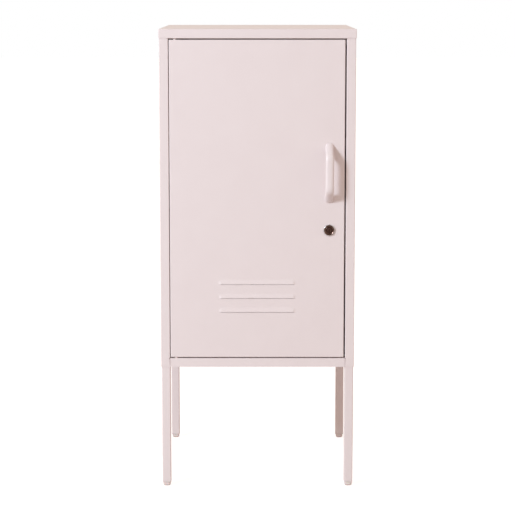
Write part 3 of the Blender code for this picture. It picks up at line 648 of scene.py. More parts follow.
class Fitter:
    """Runs the node trees that repeat a part, and turns what they make into plain pieces."""

    def __init__(self) -> None:
        """Builds the trees."""
        self.places_tree = self.places()
        self.slots_tree = self.slots()

    @staticmethod
    def tree(name: str, kinds: dict[str, str]) -> tuple[Tree, bpy.types.NodeOutputs]:
        """Starts a tree that takes geometry, named inputs of its own and a finish.

        Args:
            name: The tree's name.
            kinds: The kinds of its own inputs, by name.

        Returns:
            The tree and the sockets that bring its inputs.
        """
        tree = bpy.data.node_groups.new(name, "GeometryNodeTree")
        for label, kind in {"Geometry": "Geometry", **kinds, "Finish": "Material"}.items():
            tree.interface.new_socket(name=label, in_out="INPUT", socket_type=f"NodeSocket{kind}")
        tree.interface.new_socket(name="Geometry", in_out="OUTPUT", socket_type="NodeSocketGeometry")
        return tree, add_node(tree, "NodeGroupInput").outputs

    @staticmethod
    def close(tree: Tree, geometry: Socket, finish: Socket) -> Tree:
        """Ends a tree with real geometry in its finish."""
        real = add_node(tree, "GeometryNodeRealizeInstances", inputs={"Geometry": geometry})
        inputs = {"Geometry": real.outputs[0], "Material": finish}
        painted = add_node(tree, "GeometryNodeSetMaterial", inputs=inputs)
        add_node(tree, "NodeGroupOutput", inputs={0: painted.outputs[0]})
        return tree

    def places(self) -> Tree:
        """A tree that sets a part on each point, each turned at random about its own axis."""
        kinds = {"Part": "Object", "Spin Axis": "Vector", "Largest Spin": "Float", "Seed": "Int"}
        tree, given = self.tree("parts_at_places", kinds)
        part = add_node(tree, "GeometryNodeObjectInfo", inputs={"Object": given["Part"]}).outputs["Geometry"]
        inputs = {3: given["Largest Spin"], "Seed": given["Seed"]}
        angle = add_node(tree, "FunctionNodeRandomValue", {"data_type": "FLOAT"}, inputs)
        inputs = {0: given["Spin Axis"], "Scale": angle.outputs[1]}
        spin = add_node(tree, "ShaderNodeVectorMath", {"operation": "SCALE"}, inputs)
        turn = add_node(tree, "FunctionNodeEulerToRotation", inputs={0: spin.outputs[0]})
        inputs = {"Points": given["Geometry"], "Instance": part, "Rotation": turn.outputs[0]}
        copies = add_node(tree, "GeometryNodeInstanceOnPoints", inputs=inputs)
        return self.close(tree, copies.outputs[0], given["Finish"])

    def slots(self) -> Tree:
        """A tree that punches a row of evenly pitched holes."""
        kinds = {"Punch": "Object", "First": "Vector", "Pitch": "Vector", "Count": "Int"}
        tree, given = self.tree("row_of_slots", kinds)
        inputs = {"Count": given["Count"], "Start Location": given["First"], "Offset": given["Pitch"]}
        row = add_node(tree, "GeometryNodeMeshLine", inputs=inputs)
        punch = add_node(tree, "GeometryNodeObjectInfo", inputs={"Object": given["Punch"]}).outputs["Geometry"]
        inputs = {"Points": row.outputs[0], "Instance": punch}
        punches = add_node(tree, "GeometryNodeInstanceOnPoints", inputs=inputs)
        real = add_node(tree, "GeometryNodeRealizeInstances", inputs={0: punches.outputs[0]})
        settings = {"operation": "DIFFERENCE", "solver": "EXACT"}
        inputs = {"Mesh 1": given["Geometry"], "Mesh 2": real.outputs[0]}
        cut = add_node(tree, "GeometryNodeMeshBoolean", settings, inputs)
        return self.close(tree, cut.outputs[0], given["Finish"])

    @staticmethod
    def run(piece: Piece, tree: Tree, part: Piece, values: dict) -> None:
        """Runs a tree on a piece, which becomes a plain mesh.

        Args:
            piece: The piece that carries the modifier.
            tree: The tree.
            part: The object that the tree repeats, which is used up.
            values: The tree's inputs by name.
        """
        modifier = piece.modifiers.new(tree.name, "NODES")
        modifier.node_group = tree
        for item in tree.interface.items_tree:
            if item.in_out == "INPUT" and item.name in values:
                modifier[item.identifier] = values[item.name]
        settle(piece)
        bpy.data.objects.remove(part)

    def set_parts(
        self, name: str, part: Piece, places: Iterable[Place], axis: Axis, spin: float, finish: Finish
    ) -> Piece:
        """Sets a part, drawn at the origin, at every place.

        Args:
            name: The name of the piece that they make together.
            part: The part, which is used up.
            places: The points that it is set on.
            axis: The axis that each copy turns about.
            spin: The largest turn, in radians.
            finish: What it is made of.

        Returns:
            All the copies as one plain mesh.
        """
        points = bmesh.new()
        for place in places:
            points.verts.new(place)
        piece = as_piece(name, points)
        values = {"Part": part, "Spin Axis": axis.value, "Largest Spin": spin, "Seed": SEED}
        self.run(piece, self.places_tree, part, values | {"Finish": finish.material()})
        return piece


# ---- sub-assemblies -----------------------------------------------------------------------------
@dataclass
class Carcass:
    """The cap, the two walls, the back, the floor tray and the rail over the door.

    Attributes:
        fitter: The tool that repeats parts.
        stile: The width of the front stiles.
        stile_return: How far the stiles turn back inside.
        rear_flange: The width of the walls' rear flanges.
        stop_back: How far back the flange stands that the door closes on.
        stop_left: Where that flange starts, clear of the hinge.
        leg_room: The length that the tray's side lips leave free at each leg.
        rear_lip: Half the length of the tray's rear lip.
        cable_hole: The radius of the cable hole, in millimetres.
        wall_hole: The radius of a wall hole, in millimetres.
        wall_hole_out: How far each wall hole is from the middle.
        wall_hole_up: The height of the wall holes.
        rivet_rows: The number of rivets in each rear flange.
    """

    fitter: Fitter
    stile: float = 19.7 * MM
    stile_return: float = 16 * MM
    rear_flange: float = 15 * MM
    stop_back: float = 19.3 * MM
    stop_left: float = -150 * MM
    leg_room: float = 70 * MM
    rear_lip: float = 188 * MM
    cable_hole: float = 25.0
    wall_hole: float = 4.0
    wall_hole_out: float = 120 * MM
    wall_hole_up: float = 940 * MM
    rivet_rows: int = 9

    def build(self) -> None:
        """Builds every piece of the carcass."""
        deliver_lid("cap_sheet", "top_panel", Body.CABINET)
        for name, side in SIDES.items():
            self.wall(name, side)
        self.back()
        self.tray()
        self.rail()
        self.rivets()

    def wall(self, name: str, side: int) -> None:
        """A wall with its stile, the stile's return and a rear flange.

        Args:
            name: left or right.
            side: The sign of x on that side.
        """
        low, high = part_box(f"{name}_side_panel")
        outer = high.x if side > 0 else low.x
        inner = outer - side * self.stile
        profile = [(outer - side * self.rear_flange, high.y), (outer, high.y), (outer, low.y), (inner, low.y)]
        panels = strip(profile, low.z, high.z)
        above_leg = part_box("bottom_panel")[1].z + GAP
        panels[-1].insert(2, (inner, low.y, above_leg))
        panels += strip([(inner, low.y), (inner, low.y + self.stile_return)], above_leg, high.z)
        piece = folded(f"{name}_wall_sheet", panels, (0, 1, 0))
        deliver(piece, POWDER_COAT, Body.CABINET, [f"{name}_side_panel"])

    def back(self) -> None:
        """The rear sheet with its cable hole and wall holes."""
        low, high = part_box("back_panel")
        piece = as_piece("back_sheet", block(low, high))
        cable = middle_of("cable_grommet")
        holes = [(self.cable_hole, cable.x, cable.z)]
        holes += [(self.wall_hole, side * self.wall_hole_out, self.wall_hole_up) for side in SIDES.values()]
        for radius, x, z in holes:
            drill(piece, (x, low.y, z), radius, Axis.BACK, (-5, 5), 64)
        deliver(piece, POWDER_COAT, Body.CABINET, ["back_panel"])

    def tray(self) -> None:
        """The floor tray, whose front lip is the rail under the door."""
        low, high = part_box("bottom_panel")
        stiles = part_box("right_side_panel")[1].x - self.stile
        front, notch = stiles - GAP, low.y + self.stile_return + GAP
        lip_front, lip_rear = low.y + self.leg_room, high.y - self.leg_room
        right = [(front, low.y), (front, notch), (high.x, notch), (high.x, lip_front), (high.x, lip_rear)]
        right += [(high.x, high.y), (self.rear_lip, high.y)]
        plate = right + [(-x, y) for x, y in reversed(right)]
        panels = [[(*point, high.z) for point in plate]]
        # The front, right, rear and left lips hang from the edges that start at these corners of the plate.
        for start in (-1, 3, 6, 9):
            panels += strip([plate[start], plate[start + 1]], low.z, high.z)
        piece = folded("floor_tray_sheet", panels, (0, 0, 1))
        shanks = [(node, BOLT_HOLE) for corner in Corner for node in corner.bolts]
        shanks += [(f"catch_screw_{name}", SCREW_HOLE) for name in SIDES]
        for node, radius in shanks + [("hinge_pin_lower", PIN_HOLE)]:
            shank = middle_of(node)
            drill(piece, (shank.x, shank.y, high.z), radius, Axis.UP)
        deliver(piece, POWDER_COAT, Body.CABINET, ["bottom_panel"])

    def rail(self) -> None:
        """The rail over the door: an upstand, a web and the flange that the door closes on."""
        low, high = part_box("top_rail")
        web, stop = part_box("shelf_upright_front_left")[1].z, low.y + self.stop_back
        front = [(high.x, low.y, web), (low.x, low.y, web)]
        upstand = [(low.x, low.y, high.z), (high.x, low.y, high.z)]
        rear = [(x, stop, web) for x in (low.x, self.stop_left, high.x)]
        flange = [(high.x, stop, low.z), (self.stop_left, stop, low.z)]
        panels = [upstand + front, front[::-1] + rear[::-1], rear[1:] + flange]
        piece = folded("top_rail_sheet", panels, (0, -1, 0), TIGHT_BEND)
        pin = middle_of("hinge_pin_upper")
        drill(piece, (pin.x, pin.y, web), PIN_HOLE, Axis.UP)
        deliver(piece, POWDER_COAT, Body.CABINET, ["top_rail"])

    def rivets(self) -> None:
        """The painted blind rivets that hold the walls' rear flanges to the back."""
        dome = [(0, 0), (3.3, 0), (3.2, 0.15), (2.6, 0.5), (1.7, 0.7), (1.3, 1.1), (0, 1.1)]
        rivet = soften(as_piece("rivet", turned(dome, ORIGIN, Axis.BACK, sides=24)), 0.15 * MM, 2)
        places = []
        for name, side in SIDES.items():
            low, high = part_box(f"{name}_side_panel")
            x = (high.x if side > 0 else low.x) - side * self.rear_flange / 2
            heights = spaced(low.z + 30 * MM, high.z - 40 * MM, self.rivet_rows - 1)
            places += [(x, high.y, z) for z in heights]
        piece = self.fitter.set_parts("rear_rivets", rivet, places, Axis.BACK, math.tau, POWDER_COAT)
        deliver(piece, POWDER_COAT, Body.CABINET)


@dataclass
class Fasteners:
    """The screws and the leg bolt, in zinc-plated steel.

    Attributes:
        screw_edge: The radius of a screw's edges.
        bolt_edge: The radius of a bolt's edges.
    """

    screw_edge: float = 0.12 * MM
    bolt_edge: float = 0.15 * MM

    def crosshead(self, name: str, node: str, sizes: Sequence[float], axis: Axis, body: Body) -> None:
        """A pan-head screw with a cross recess, whose head is at the far end of its node's box.

        Args:
            name: The piece's name.
            node: The CAD node that it stands for.
            sizes: The head's radius and height, and the shank's radius and length, in millimetres.
            axis: The way that the head rises.
            body: The body that it rides on.
        """
        head, rise, shank, length = sizes
        profile = [(0, -length), (shank * 0.5, -length), (shank, -length + shank), (shank, 0), (head, 0)]
        profile += [(head, rise * 0.35), (head * 0.86, rise * 0.75), (head * 0.5, rise), (0, rise)]
        piece = as_piece(name, turned(profile, ORIGIN, axis, sides=40))
        long, thin = head * 0.62 * MM, head * 0.13 * MM
        bottom, top = rise * 0.3 * MM, rise * 1.3 * MM
        for wide, deep in ((long, thin), (thin, long)):
            if axis is Axis.UP:
                cutter = block((-wide, -deep, bottom), (wide, deep, top))
            else:
                cutter = block((-wide, bottom, -deep), (wide, top, deep))
            combine(piece, cutter, "DIFFERENCE")
        soften(piece, self.screw_edge, 2)
        middle, way = middle_of(node), Vector(axis.value)
        under_head = (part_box(node)[1] - middle).dot(way) - rise * MM
        piece.data.transform(Matrix.Translation(middle + way * under_head))
        deliver(piece, ZINC_PLATE, body, [node])

    def socket_bolt(self) -> Piece:
        """A low-head bolt at the origin, whose hexagon socket opens downwards."""
        profile = [(0, -3.5), (4.8, -3.5), (5.4, -2.9), (5.4, 0), (3, 0), (3, 4.2), (2.6, 4.5), (0, 4.5)]
        piece = as_piece("bolt", turned(profile, ORIGIN, Axis.UP, sides=40))
        socket = [(x, y, -4 * MM) for x, y in hexagon(2.3 * MM)]
        combine(piece, extruded(socket, (0, 0, 2.6 * MM)), "DIFFERENCE")
        return soften(piece, self.bolt_edge, 2)


@dataclass
class Shelving:
    """The slotted uprights, the clips and the two loose shelves.

    Attributes:
        fitter: The tool that repeats parts.
        slot_width: The width of a slot in the uprights.
        slot_height: Its height.
        slot_pitch: The distance from one slot to the next.
        slot_count: The number of slots in an upright.
        first_slot: How far the middle of the lowest slot is above the upright's foot.
        clip_metal: The thickness of a clip.
    """

    fitter: Fitter
    slot_width: float = 5 * MM
    slot_height: float = 14 * MM
    slot_pitch: float = 50 * MM
    slot_count: int = 12
    first_slot: float = 47.6 * MM
    clip_metal: float = 1.5 * MM

    def build(self) -> None:
        """Builds the shelving."""
        for corner in Corner:
            self.upright(corner)
        for name, side in SIDES.items():
            self.clips(name, side)
        for level, body in (("upper", Body.UPPER_SHELF), ("lower", Body.LOWER_SHELF)):
            deliver_lid(f"{level}_shelf_sheet", f"{level}_shelf", body)

    def upright(self, corner: Corner) -> None:
        """A channel on the wall, punched with slots for the clips."""
        node = f"shelf_upright_{corner.label}"
        low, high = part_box(node)
        wall, face = (high.x, low.x) if corner.value[0] > 0 else (low.x, high.x)
        profile = [(wall, low.y), (face, low.y), (face, high.y), (wall, high.y)]
        piece = folded(f"slotted_{node}", strip(profile, low.z, high.z), (0, -1, 0))
        half_wide = self.slot_width / 2
        slot = rounded(oblong(half_wide, self.slot_height / 2), half_wide * 0.98)
        punch = as_piece("punch", extruded([(-3 * MM, y, z) for y, z in slot], (6 * MM, 0, 0)))
        values = {
            "Punch": punch,
            "First": (face, (low.y + high.y) / 2, low.z + self.first_slot),
            "Pitch": (0, 0, self.slot_pitch),
            "Count": self.slot_count,
            "Finish": POWDER_COAT.material(),
        }
        self.fitter.run(piece, self.fitter.slots_tree, punch, values)
        deliver(piece, POWDER_COAT, Body.CABINET, [node])

    def clips(self, name: str, side: int) -> None:
        """The four bent clips on one wall, each with a hook in its slot and a ledge under the shelf.

        Args:
            name: left or right.
            side: The sign of x on that side.
        """
        nodes = [f"shelf_clip_{level}_{end}_{name}" for level in ("lower", "upper") for end in ("front", "rear")]
        low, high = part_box(nodes[0])
        hook_in = abs(high.x if side > 0 else low.x)
        ledge_out = abs(low.x if side > 0 else high.x)
        metal, tall = self.clip_metal, high.z - low.z
        face = hook_in - metal - SHEET - GAP - GAP
        section = [(face, 0), (face, tall), (ledge_out, tall), (ledge_out, tall - metal)]
        section += [(face - metal, tall - metal), (face - metal, 0)]
        piece = as_piece(f"clip_{name}", self.bent(section, side, (high.y - low.y) / 2))
        soften(piece, 0.6 * MM)
        bottom, under, top = 4 * MM, 13 * MM, 15 * MM
        hook = [(hook_in, bottom), (hook_in, top), (face - metal / 2, top), (face - metal / 2, under)]
        hook += [(hook_in - metal, under), (hook_in - metal, bottom)]
        combine(piece, self.bent(hook, side, self.slot_width / 2 - GAP), "UNION")
        places = [(0, middle_of(node).y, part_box(node)[0].z) for node in nodes]
        clips = self.fitter.set_parts(f"shelf_clips_{name}", piece, places, Axis.UP, 0.0, ZINC_PLATE)
        deliver(clips, ZINC_PLATE, Body.CABINET, nodes)

    @staticmethod
    def bent(section: Flat, side: int, half: float) -> Shape:
        """Draws a section, measured out from the cabinet's middle plane, this far each way along y."""
        return extruded([(side * x, -half, z) for x, z in section], (0, 2 * half, 0))


@dataclass
class Legs:
    """Four square tube legs with their plates, bolts and moulded feet.

    Attributes:
        fitter: The tool that repeats parts.
        fasteners: The maker of the bolts.
        tube: The tube's width.
        wall: The thickness of its wall.
        tube_corner: The outside radius of its corners.
        plate_thick: The thickness of the plate on its top.
        bolt_head: The height of a bolt's head.
    """

    fitter: Fitter
    fasteners: Fasteners
    tube: float = 19 * MM
    wall: float = 1.2 * MM
    tube_corner: float = 2.2 * MM
    plate_thick: float = 3 * MM
    bolt_head: float = 3.5 * MM

    def build(self) -> None:
        """Builds the legs, the feet and the bolts."""
        for corner in Corner:
            self.leg(corner)
            self.foot(corner)
        self.bolts()

    def outer(self, corner: Corner) -> Vector:
        """The outermost corner of a leg's tube, on its lower edge."""
        low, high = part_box(f"leg_{corner.label}")
        side, end = corner.value
        return Vector((high.x if side > 0 else low.x, high.y if end > 0 else low.y, low.z))

    def middle(self, corner: Corner) -> Vector:
        """The middle of a leg's tube, on its lower edge."""
        return self.outer(corner) - Vector((*corner.value, 0)) * self.tube / 2

    def leg(self, corner: Corner) -> None:
        """A tube with an L-shaped plate welded on its top."""
        side, end = corner.value
        outer, middle, top = self.outer(corner), self.middle(corner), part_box(f"leg_{corner.label}")[1].z
        rings = [rounded_square(middle, self.tube / 2, self.tube_corner, z) for z in (outer.z, top)]
        piece = as_piece(f"tube_leg_{corner.label}", lofted(rings))
        inset, tube = 0.05, self.tube / MM
        corners = [(inset, inset), (tube, inset), (tube, tube), (46, tube), (46, 36), (20, 60), (inset, 60)]
        under = top - self.plate_thick
        inwards = [(side * across * MM, end * along * MM) for across, along in corners]
        outline = [(outer.x - x, outer.y - y, under) for x, y in inwards]
        combine(piece, extruded(outline, (0, 0, self.plate_thick)), "UNION")
        inner, ceiling = self.tube / 2 - self.wall, under - 2 * MM
        rings = [rounded_square(middle, inner, self.tube_corner - self.wall, z) for z in (0, ceiling)]
        combine(piece, lofted(rings), "DIFFERENCE")
        for node in corner.bolts:
            bolt = middle_of(node)
            drill(piece, (bolt.x, bolt.y, top), BOLT_HOLE, Axis.UP, (-5, 5))
        deliver(soften(piece, 0.25 * MM, 2), POWDER_COAT, Body.CABINET, [f"leg_{corner.label}"])

    def foot(self, corner: Corner) -> None:
        """A moulded glide: a plug in the tube, a thin flange, a neck and a pad with a rounded rim."""
        middle = self.middle(corner)
        sections = [(4.4, 3.4, 0), (4.8, 3.6, 0.05)]
        for step in range(1, 9):
            turn = step / 8 * math.pi / 2
            sections.append((4.8 + 3.4 * math.sin(turn), 4.2, 0.05 + 4.6 * (1 - math.cos(turn))))
        sections += [(8.2, 4.1, 5.9), (8.15, 4.0, 6.4), (7.95, 3.8, 6.8), (7.8, 3.6, 7.1), (7.8, 3.6, 8.1)]
        sections += [(8.3, 3.0, 8.5), (9.2, 2.4, 8.6), (9.5, 2.4, 8.8), (9.5, 2.4, 10.5), (9.3, 2.3, 10.7)]
        sections += [(8.1, 1.0, 10.7), (8.0, 1.0, 11.0), (8.0, 1.0, 22.0), (7.3, 0.8, 24.0)]
        rings = [rounded_square(middle, half * MM, radius * MM, z * MM, 8) for half, radius, z in sections]
        piece = as_piece(f"glide_{corner.label}", lofted(rings))
        deliver(piece, NYLON, Body.CABINET, [f"foot_{corner.label}"])

    def bolts(self) -> None:
        """The bolts through the plates, each left at its own angle."""
        nodes = [node for corner in Corner for node in corner.bolts]
        places = [(*middle_of(node).xy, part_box(node)[0].z + self.bolt_head) for node in nodes]
        bolt = self.fasteners.socket_bolt()
        piece = self.fitter.set_parts("leg_bolts", bolt, places, Axis.UP, math.tau, ZINC_PLATE)
        deliver(piece, ZINC_PLATE, Body.CABINET, nodes)


@dataclass
class DoorLeaf:
    """The door pan with its pressed louvres, and the channel that stiffens it.

    Attributes:
        width: The door's width.
        depth: Its thickness.
        lip: The width of the lip round its back.
        louvre_count: The number of louvres.
        louvre_width: The width of a louvre.
        louvre_height: Its height.
        louvre_reach: How far its lip stands out.
        louvre_slit: How far the slot under it is open, seen from in front.
        louvre_end: The width of its closed ends.
        louvre_pitch: The distance from one louvre to the next.
        lowest: The height of the lowest slot above the door's lower edge.
        lock_hole: The radius of the lock's hole, in millimetres.
        bush_hole: The radius of a hinge bush's hole, in millimetres.
        channel_foot: The width of the stiffening channel's feet.
        channel_web: The width of its web.
    """

    width: float = 378.7 * MM
    depth: float = 16 * MM
    lip: float = 12 * MM
    louvre_count: int = 3
    louvre_width: float = 168 * MM
    louvre_height: float = 12 * MM
    louvre_reach: float = 1.4 * MM
    louvre_slit: float = 0.8 * MM
    louvre_end: float = 6.5 * MM
    louvre_pitch: float = 30.7 * MM
    lowest: float = 100.2 * MM
    lock_hole: float = 9.3
    bush_hole: float = 3.4
    channel_foot: float = 8 * MM
    channel_web: float = 18 * MM

    def build(self) -> None:
        """Builds the door's sheet parts."""
        self.pan()
        self.stiffener()

    def hood(self, x: float, z: float, slots: Sequence[float]) -> float:
        """How far the face stands out at a point of the door.

        Args:
            x: The distance from the door's left edge.
            z: The height above its lower edge.
            slots: The heights of the louvres' slots.

        Returns:
            The distance in metres.
        """
        left = (self.width - self.louvre_width) / 2
        inside = min(x - left, left + self.louvre_width - x)
        across = ease(inside / self.louvre_end)
        for slot in slots:
            if slot <= z <= slot + self.louvre_height:
                fall = ease((slot + self.louvre_height - z) / self.louvre_height)
                return self.louvre_reach * across * fall
        return 0.0

    def face(self, tall: float, origin: Vector) -> tuple[list[Polygon], list[float], list[float]]:
        """The pressed front of the door as a grid, split along the slots.

        Args:
            tall: The door's height.
            origin: Its lower left corner.

        Returns:
            The faces, the columns' distances from the left and the rows' heights.
        """
        left = (self.width - self.louvre_width) / 2
        right = left + self.louvre_width
        columns = [0.0, *spaced(left, left + self.louvre_end, 10)]
        columns += [*spaced(right - self.louvre_end, right, 10), self.width]
        slots = [self.lowest + row * self.louvre_pitch for row in range(self.louvre_count)]
        rows = [0.0]
        for slot in slots:
            rows += [slot - self.louvre_slit, *spaced(slot, slot + self.louvre_height, 12)]
        rows.append(tall)
        faces = []
        for low, high in zip(rows, rows[1:]):
            flat_band = high in slots or high == tall
            for start, end in zip(columns, columns[1:]):
                inside = left + self.louvre_end / 2 < start and end < right - self.louvre_end / 2
                if inside and high in slots:
                    continue
                points = [(start, low), (end, low), (end, high), (start, high)]
                outs = [0.0 if flat_band else self.hood(x, z, slots) for x, z in points]
                faces.append([origin + Vector((x, -out, z)) for (x, z), out in zip(points, outs)])
        return faces, columns, rows

    def pan(self) -> None:
        """The folded pan with a lip round its back, its louvres, and holes for the lock and fixings."""
        low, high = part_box("door_panel")
        origin, tall, wide = Vector((low.x, high.y - self.depth, low.z)), high.z - low.z, self.width
        faces, columns, rows = self.face(tall, origin)
        edges = [
            [(x, 0.0) for x in columns],
            [(wide, z) for z in rows],
            [(x, tall) for x in reversed(columns)],
            [(0.0, z) for z in reversed(rows)],
        ]
        for edge in edges:
            ends = (edge[-1], edge[0])
            front = [origin + Vector((x, 0, z)) for x, z in edge]
            back = [origin + Vector((x, self.depth, z)) for x, z in ends]
            tucked = [(self.inwards(x, wide), self.depth, self.inwards(z, tall)) for x, z in reversed(ends)]
            faces += [front + back, back + [origin + Vector(point) for point in tucked]]
        piece = folded("door_sheet", faces, (0, -1, 0))
        holes = {"lock_housing": self.lock_hole, "handle_screw_lower": PIN_HOLE, "handle_screw_upper": PIN_HOLE}
        for node, radius in holes.items():
            hole = middle_of(node)
            drill(piece, (hole.x, origin.y, hole.z), radius, Axis.BACK, sides=48)
        for node, z in (("hinge_bush_lower", low.z), ("hinge_bush_upper", high.z)):
            drill(piece, (*middle_of(node).xy, z), self.bush_hole, Axis.UP)
        deliver(piece, POWDER_COAT, Body.DOOR, ["door_panel"])

    def inwards(self, at: float, size: float) -> float:
        """Moves an end of a side inwards by the width of the back lip."""
        return at + math.copysign(self.lip, size / 2 - at)

    def stiffener(self) -> None:
        """The hat channel behind the door's face."""
        low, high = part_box("door_stiffener")
        first, seat = low.x + self.channel_foot, low.y + SHEET
        second = first + self.channel_web
        profile = [(low.x, seat), (first, seat), (first, high.y)]
        profile += [(second, high.y), (second, seat), (high.x, seat)]
        piece = folded("stiffener_sheet", strip(profile, low.z, high.z), (0, 1, 0), TIGHT_BEND)
        deliver(piece, POWDER_COAT, Body.DOOR, ["door_stiffener"])


@dataclass
class BowHandle:
    """The bow handle and the two screws behind it.

    Attributes:
        fasteners: The maker of the screws.
        grip: The grip's thickness, front to back.
        post: The arms' thickness.
        lean: How far the arms lean towards each other.
        turn: The radius of the two bends, along the middle of the bar.
        squareness: The power that draws the section from a circle, 1, towards a rectangle, 0.
        around: The number of points round the section.
        bend_steps: The number of sections in a bend.
    """

    fasteners: Fasteners
    grip: float = 9 * MM
    post: float = 12 * MM
    lean: float = math.radians(38)
    turn: float = 16 * MM
    squareness: float = 0.85
    around: int = 40
    bend_steps: int = 16

    def build(self) -> None:
        """Builds the handle and its screws."""
        self.bar()
        for name in ("lower", "upper"):
            sizes = (4.0, 2.8, 2.0, 9.0)
            self.fasteners.crosshead(f"arm_screw_{name}", f"handle_screw_{name}", sizes, Axis.BACK, Body.DOOR)

    def stations(self, reach: float, length: float) -> list[tuple[float, float, float, float]]:
        """The bar's centre line from the lower foot to the upper one.

        Args:
            reach: How far the handle stands out from the door.
            length: Its full length.

        Returns:
            Rows of (distance out, height, angle turned, thickness).
        """
        flat = self.post / math.cos(self.lean)
        foot = (length - flat) / 2
        out = reach - self.grip / 2
        bend_out = out - self.turn
        arm_out = bend_out + self.turn * math.sin(self.lean)
        bend_up = foot - arm_out * math.tan(self.lean) - self.turn * math.cos(self.lean)
        half = [(0.0, -foot, 0.0, flat)]
        for share in (0.3, 0.5, 0.75):
            half.append((share * arm_out, share * arm_out * math.tan(self.lean) - foot, self.lean, self.post))
        for share in spaced(0, 1, self.bend_steps):
            angle = self.lean + share * (math.pi / 2 - self.lean)
            up = -bend_up - self.turn * math.cos(angle)
            thick = self.post + (self.grip - self.post) * ease(share)
            half.append((bend_out + self.turn * math.sin(angle), up, angle, thick))
        grip = [(out, share * bend_up, math.pi / 2, self.grip) for share in (-0.5, 0, 0.5)]
        mirrored = [(away, -up, math.pi - angle, thick) for away, up, angle, thick in reversed(half)]
        return half + grip + mirrored

    def bar(self) -> None:
        """The bar, swept along its centre line."""
        low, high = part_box("handle")
        middle = (low + high) / 2
        half_wide = (high.x - low.x) / 2
        section = []
        for index in range(self.around):
            turn = math.tau * index / self.around
            ways = (math.cos(turn), math.sin(turn))
            section.append([math.copysign(abs(way) ** self.squareness, way) for way in ways])
        rings = []
        for out, up, angle, thick in self.stations(high.y - low.y, high.z - low.z):
            outer = Vector((0, -math.sin(angle), -math.cos(angle)))
            centre = Vector((middle.x, high.y - out, middle.z + up))
            rings.append([
                centre + Vector((across * half_wide, 0, 0)) + outer * deep * thick / 2 for across, deep in section
            ])
        piece = as_piece("bow_handle", lofted(rings))
        for name in ("lower", "upper"):
            screw = middle_of(f"handle_screw_{name}")
            drill(piece, (screw.x, high.y, screw.z), PIN_HOLE, Axis.BACK, (-8, 3))
        deliver(piece, POWDER_COAT, Body.DOOR, ["handle"])


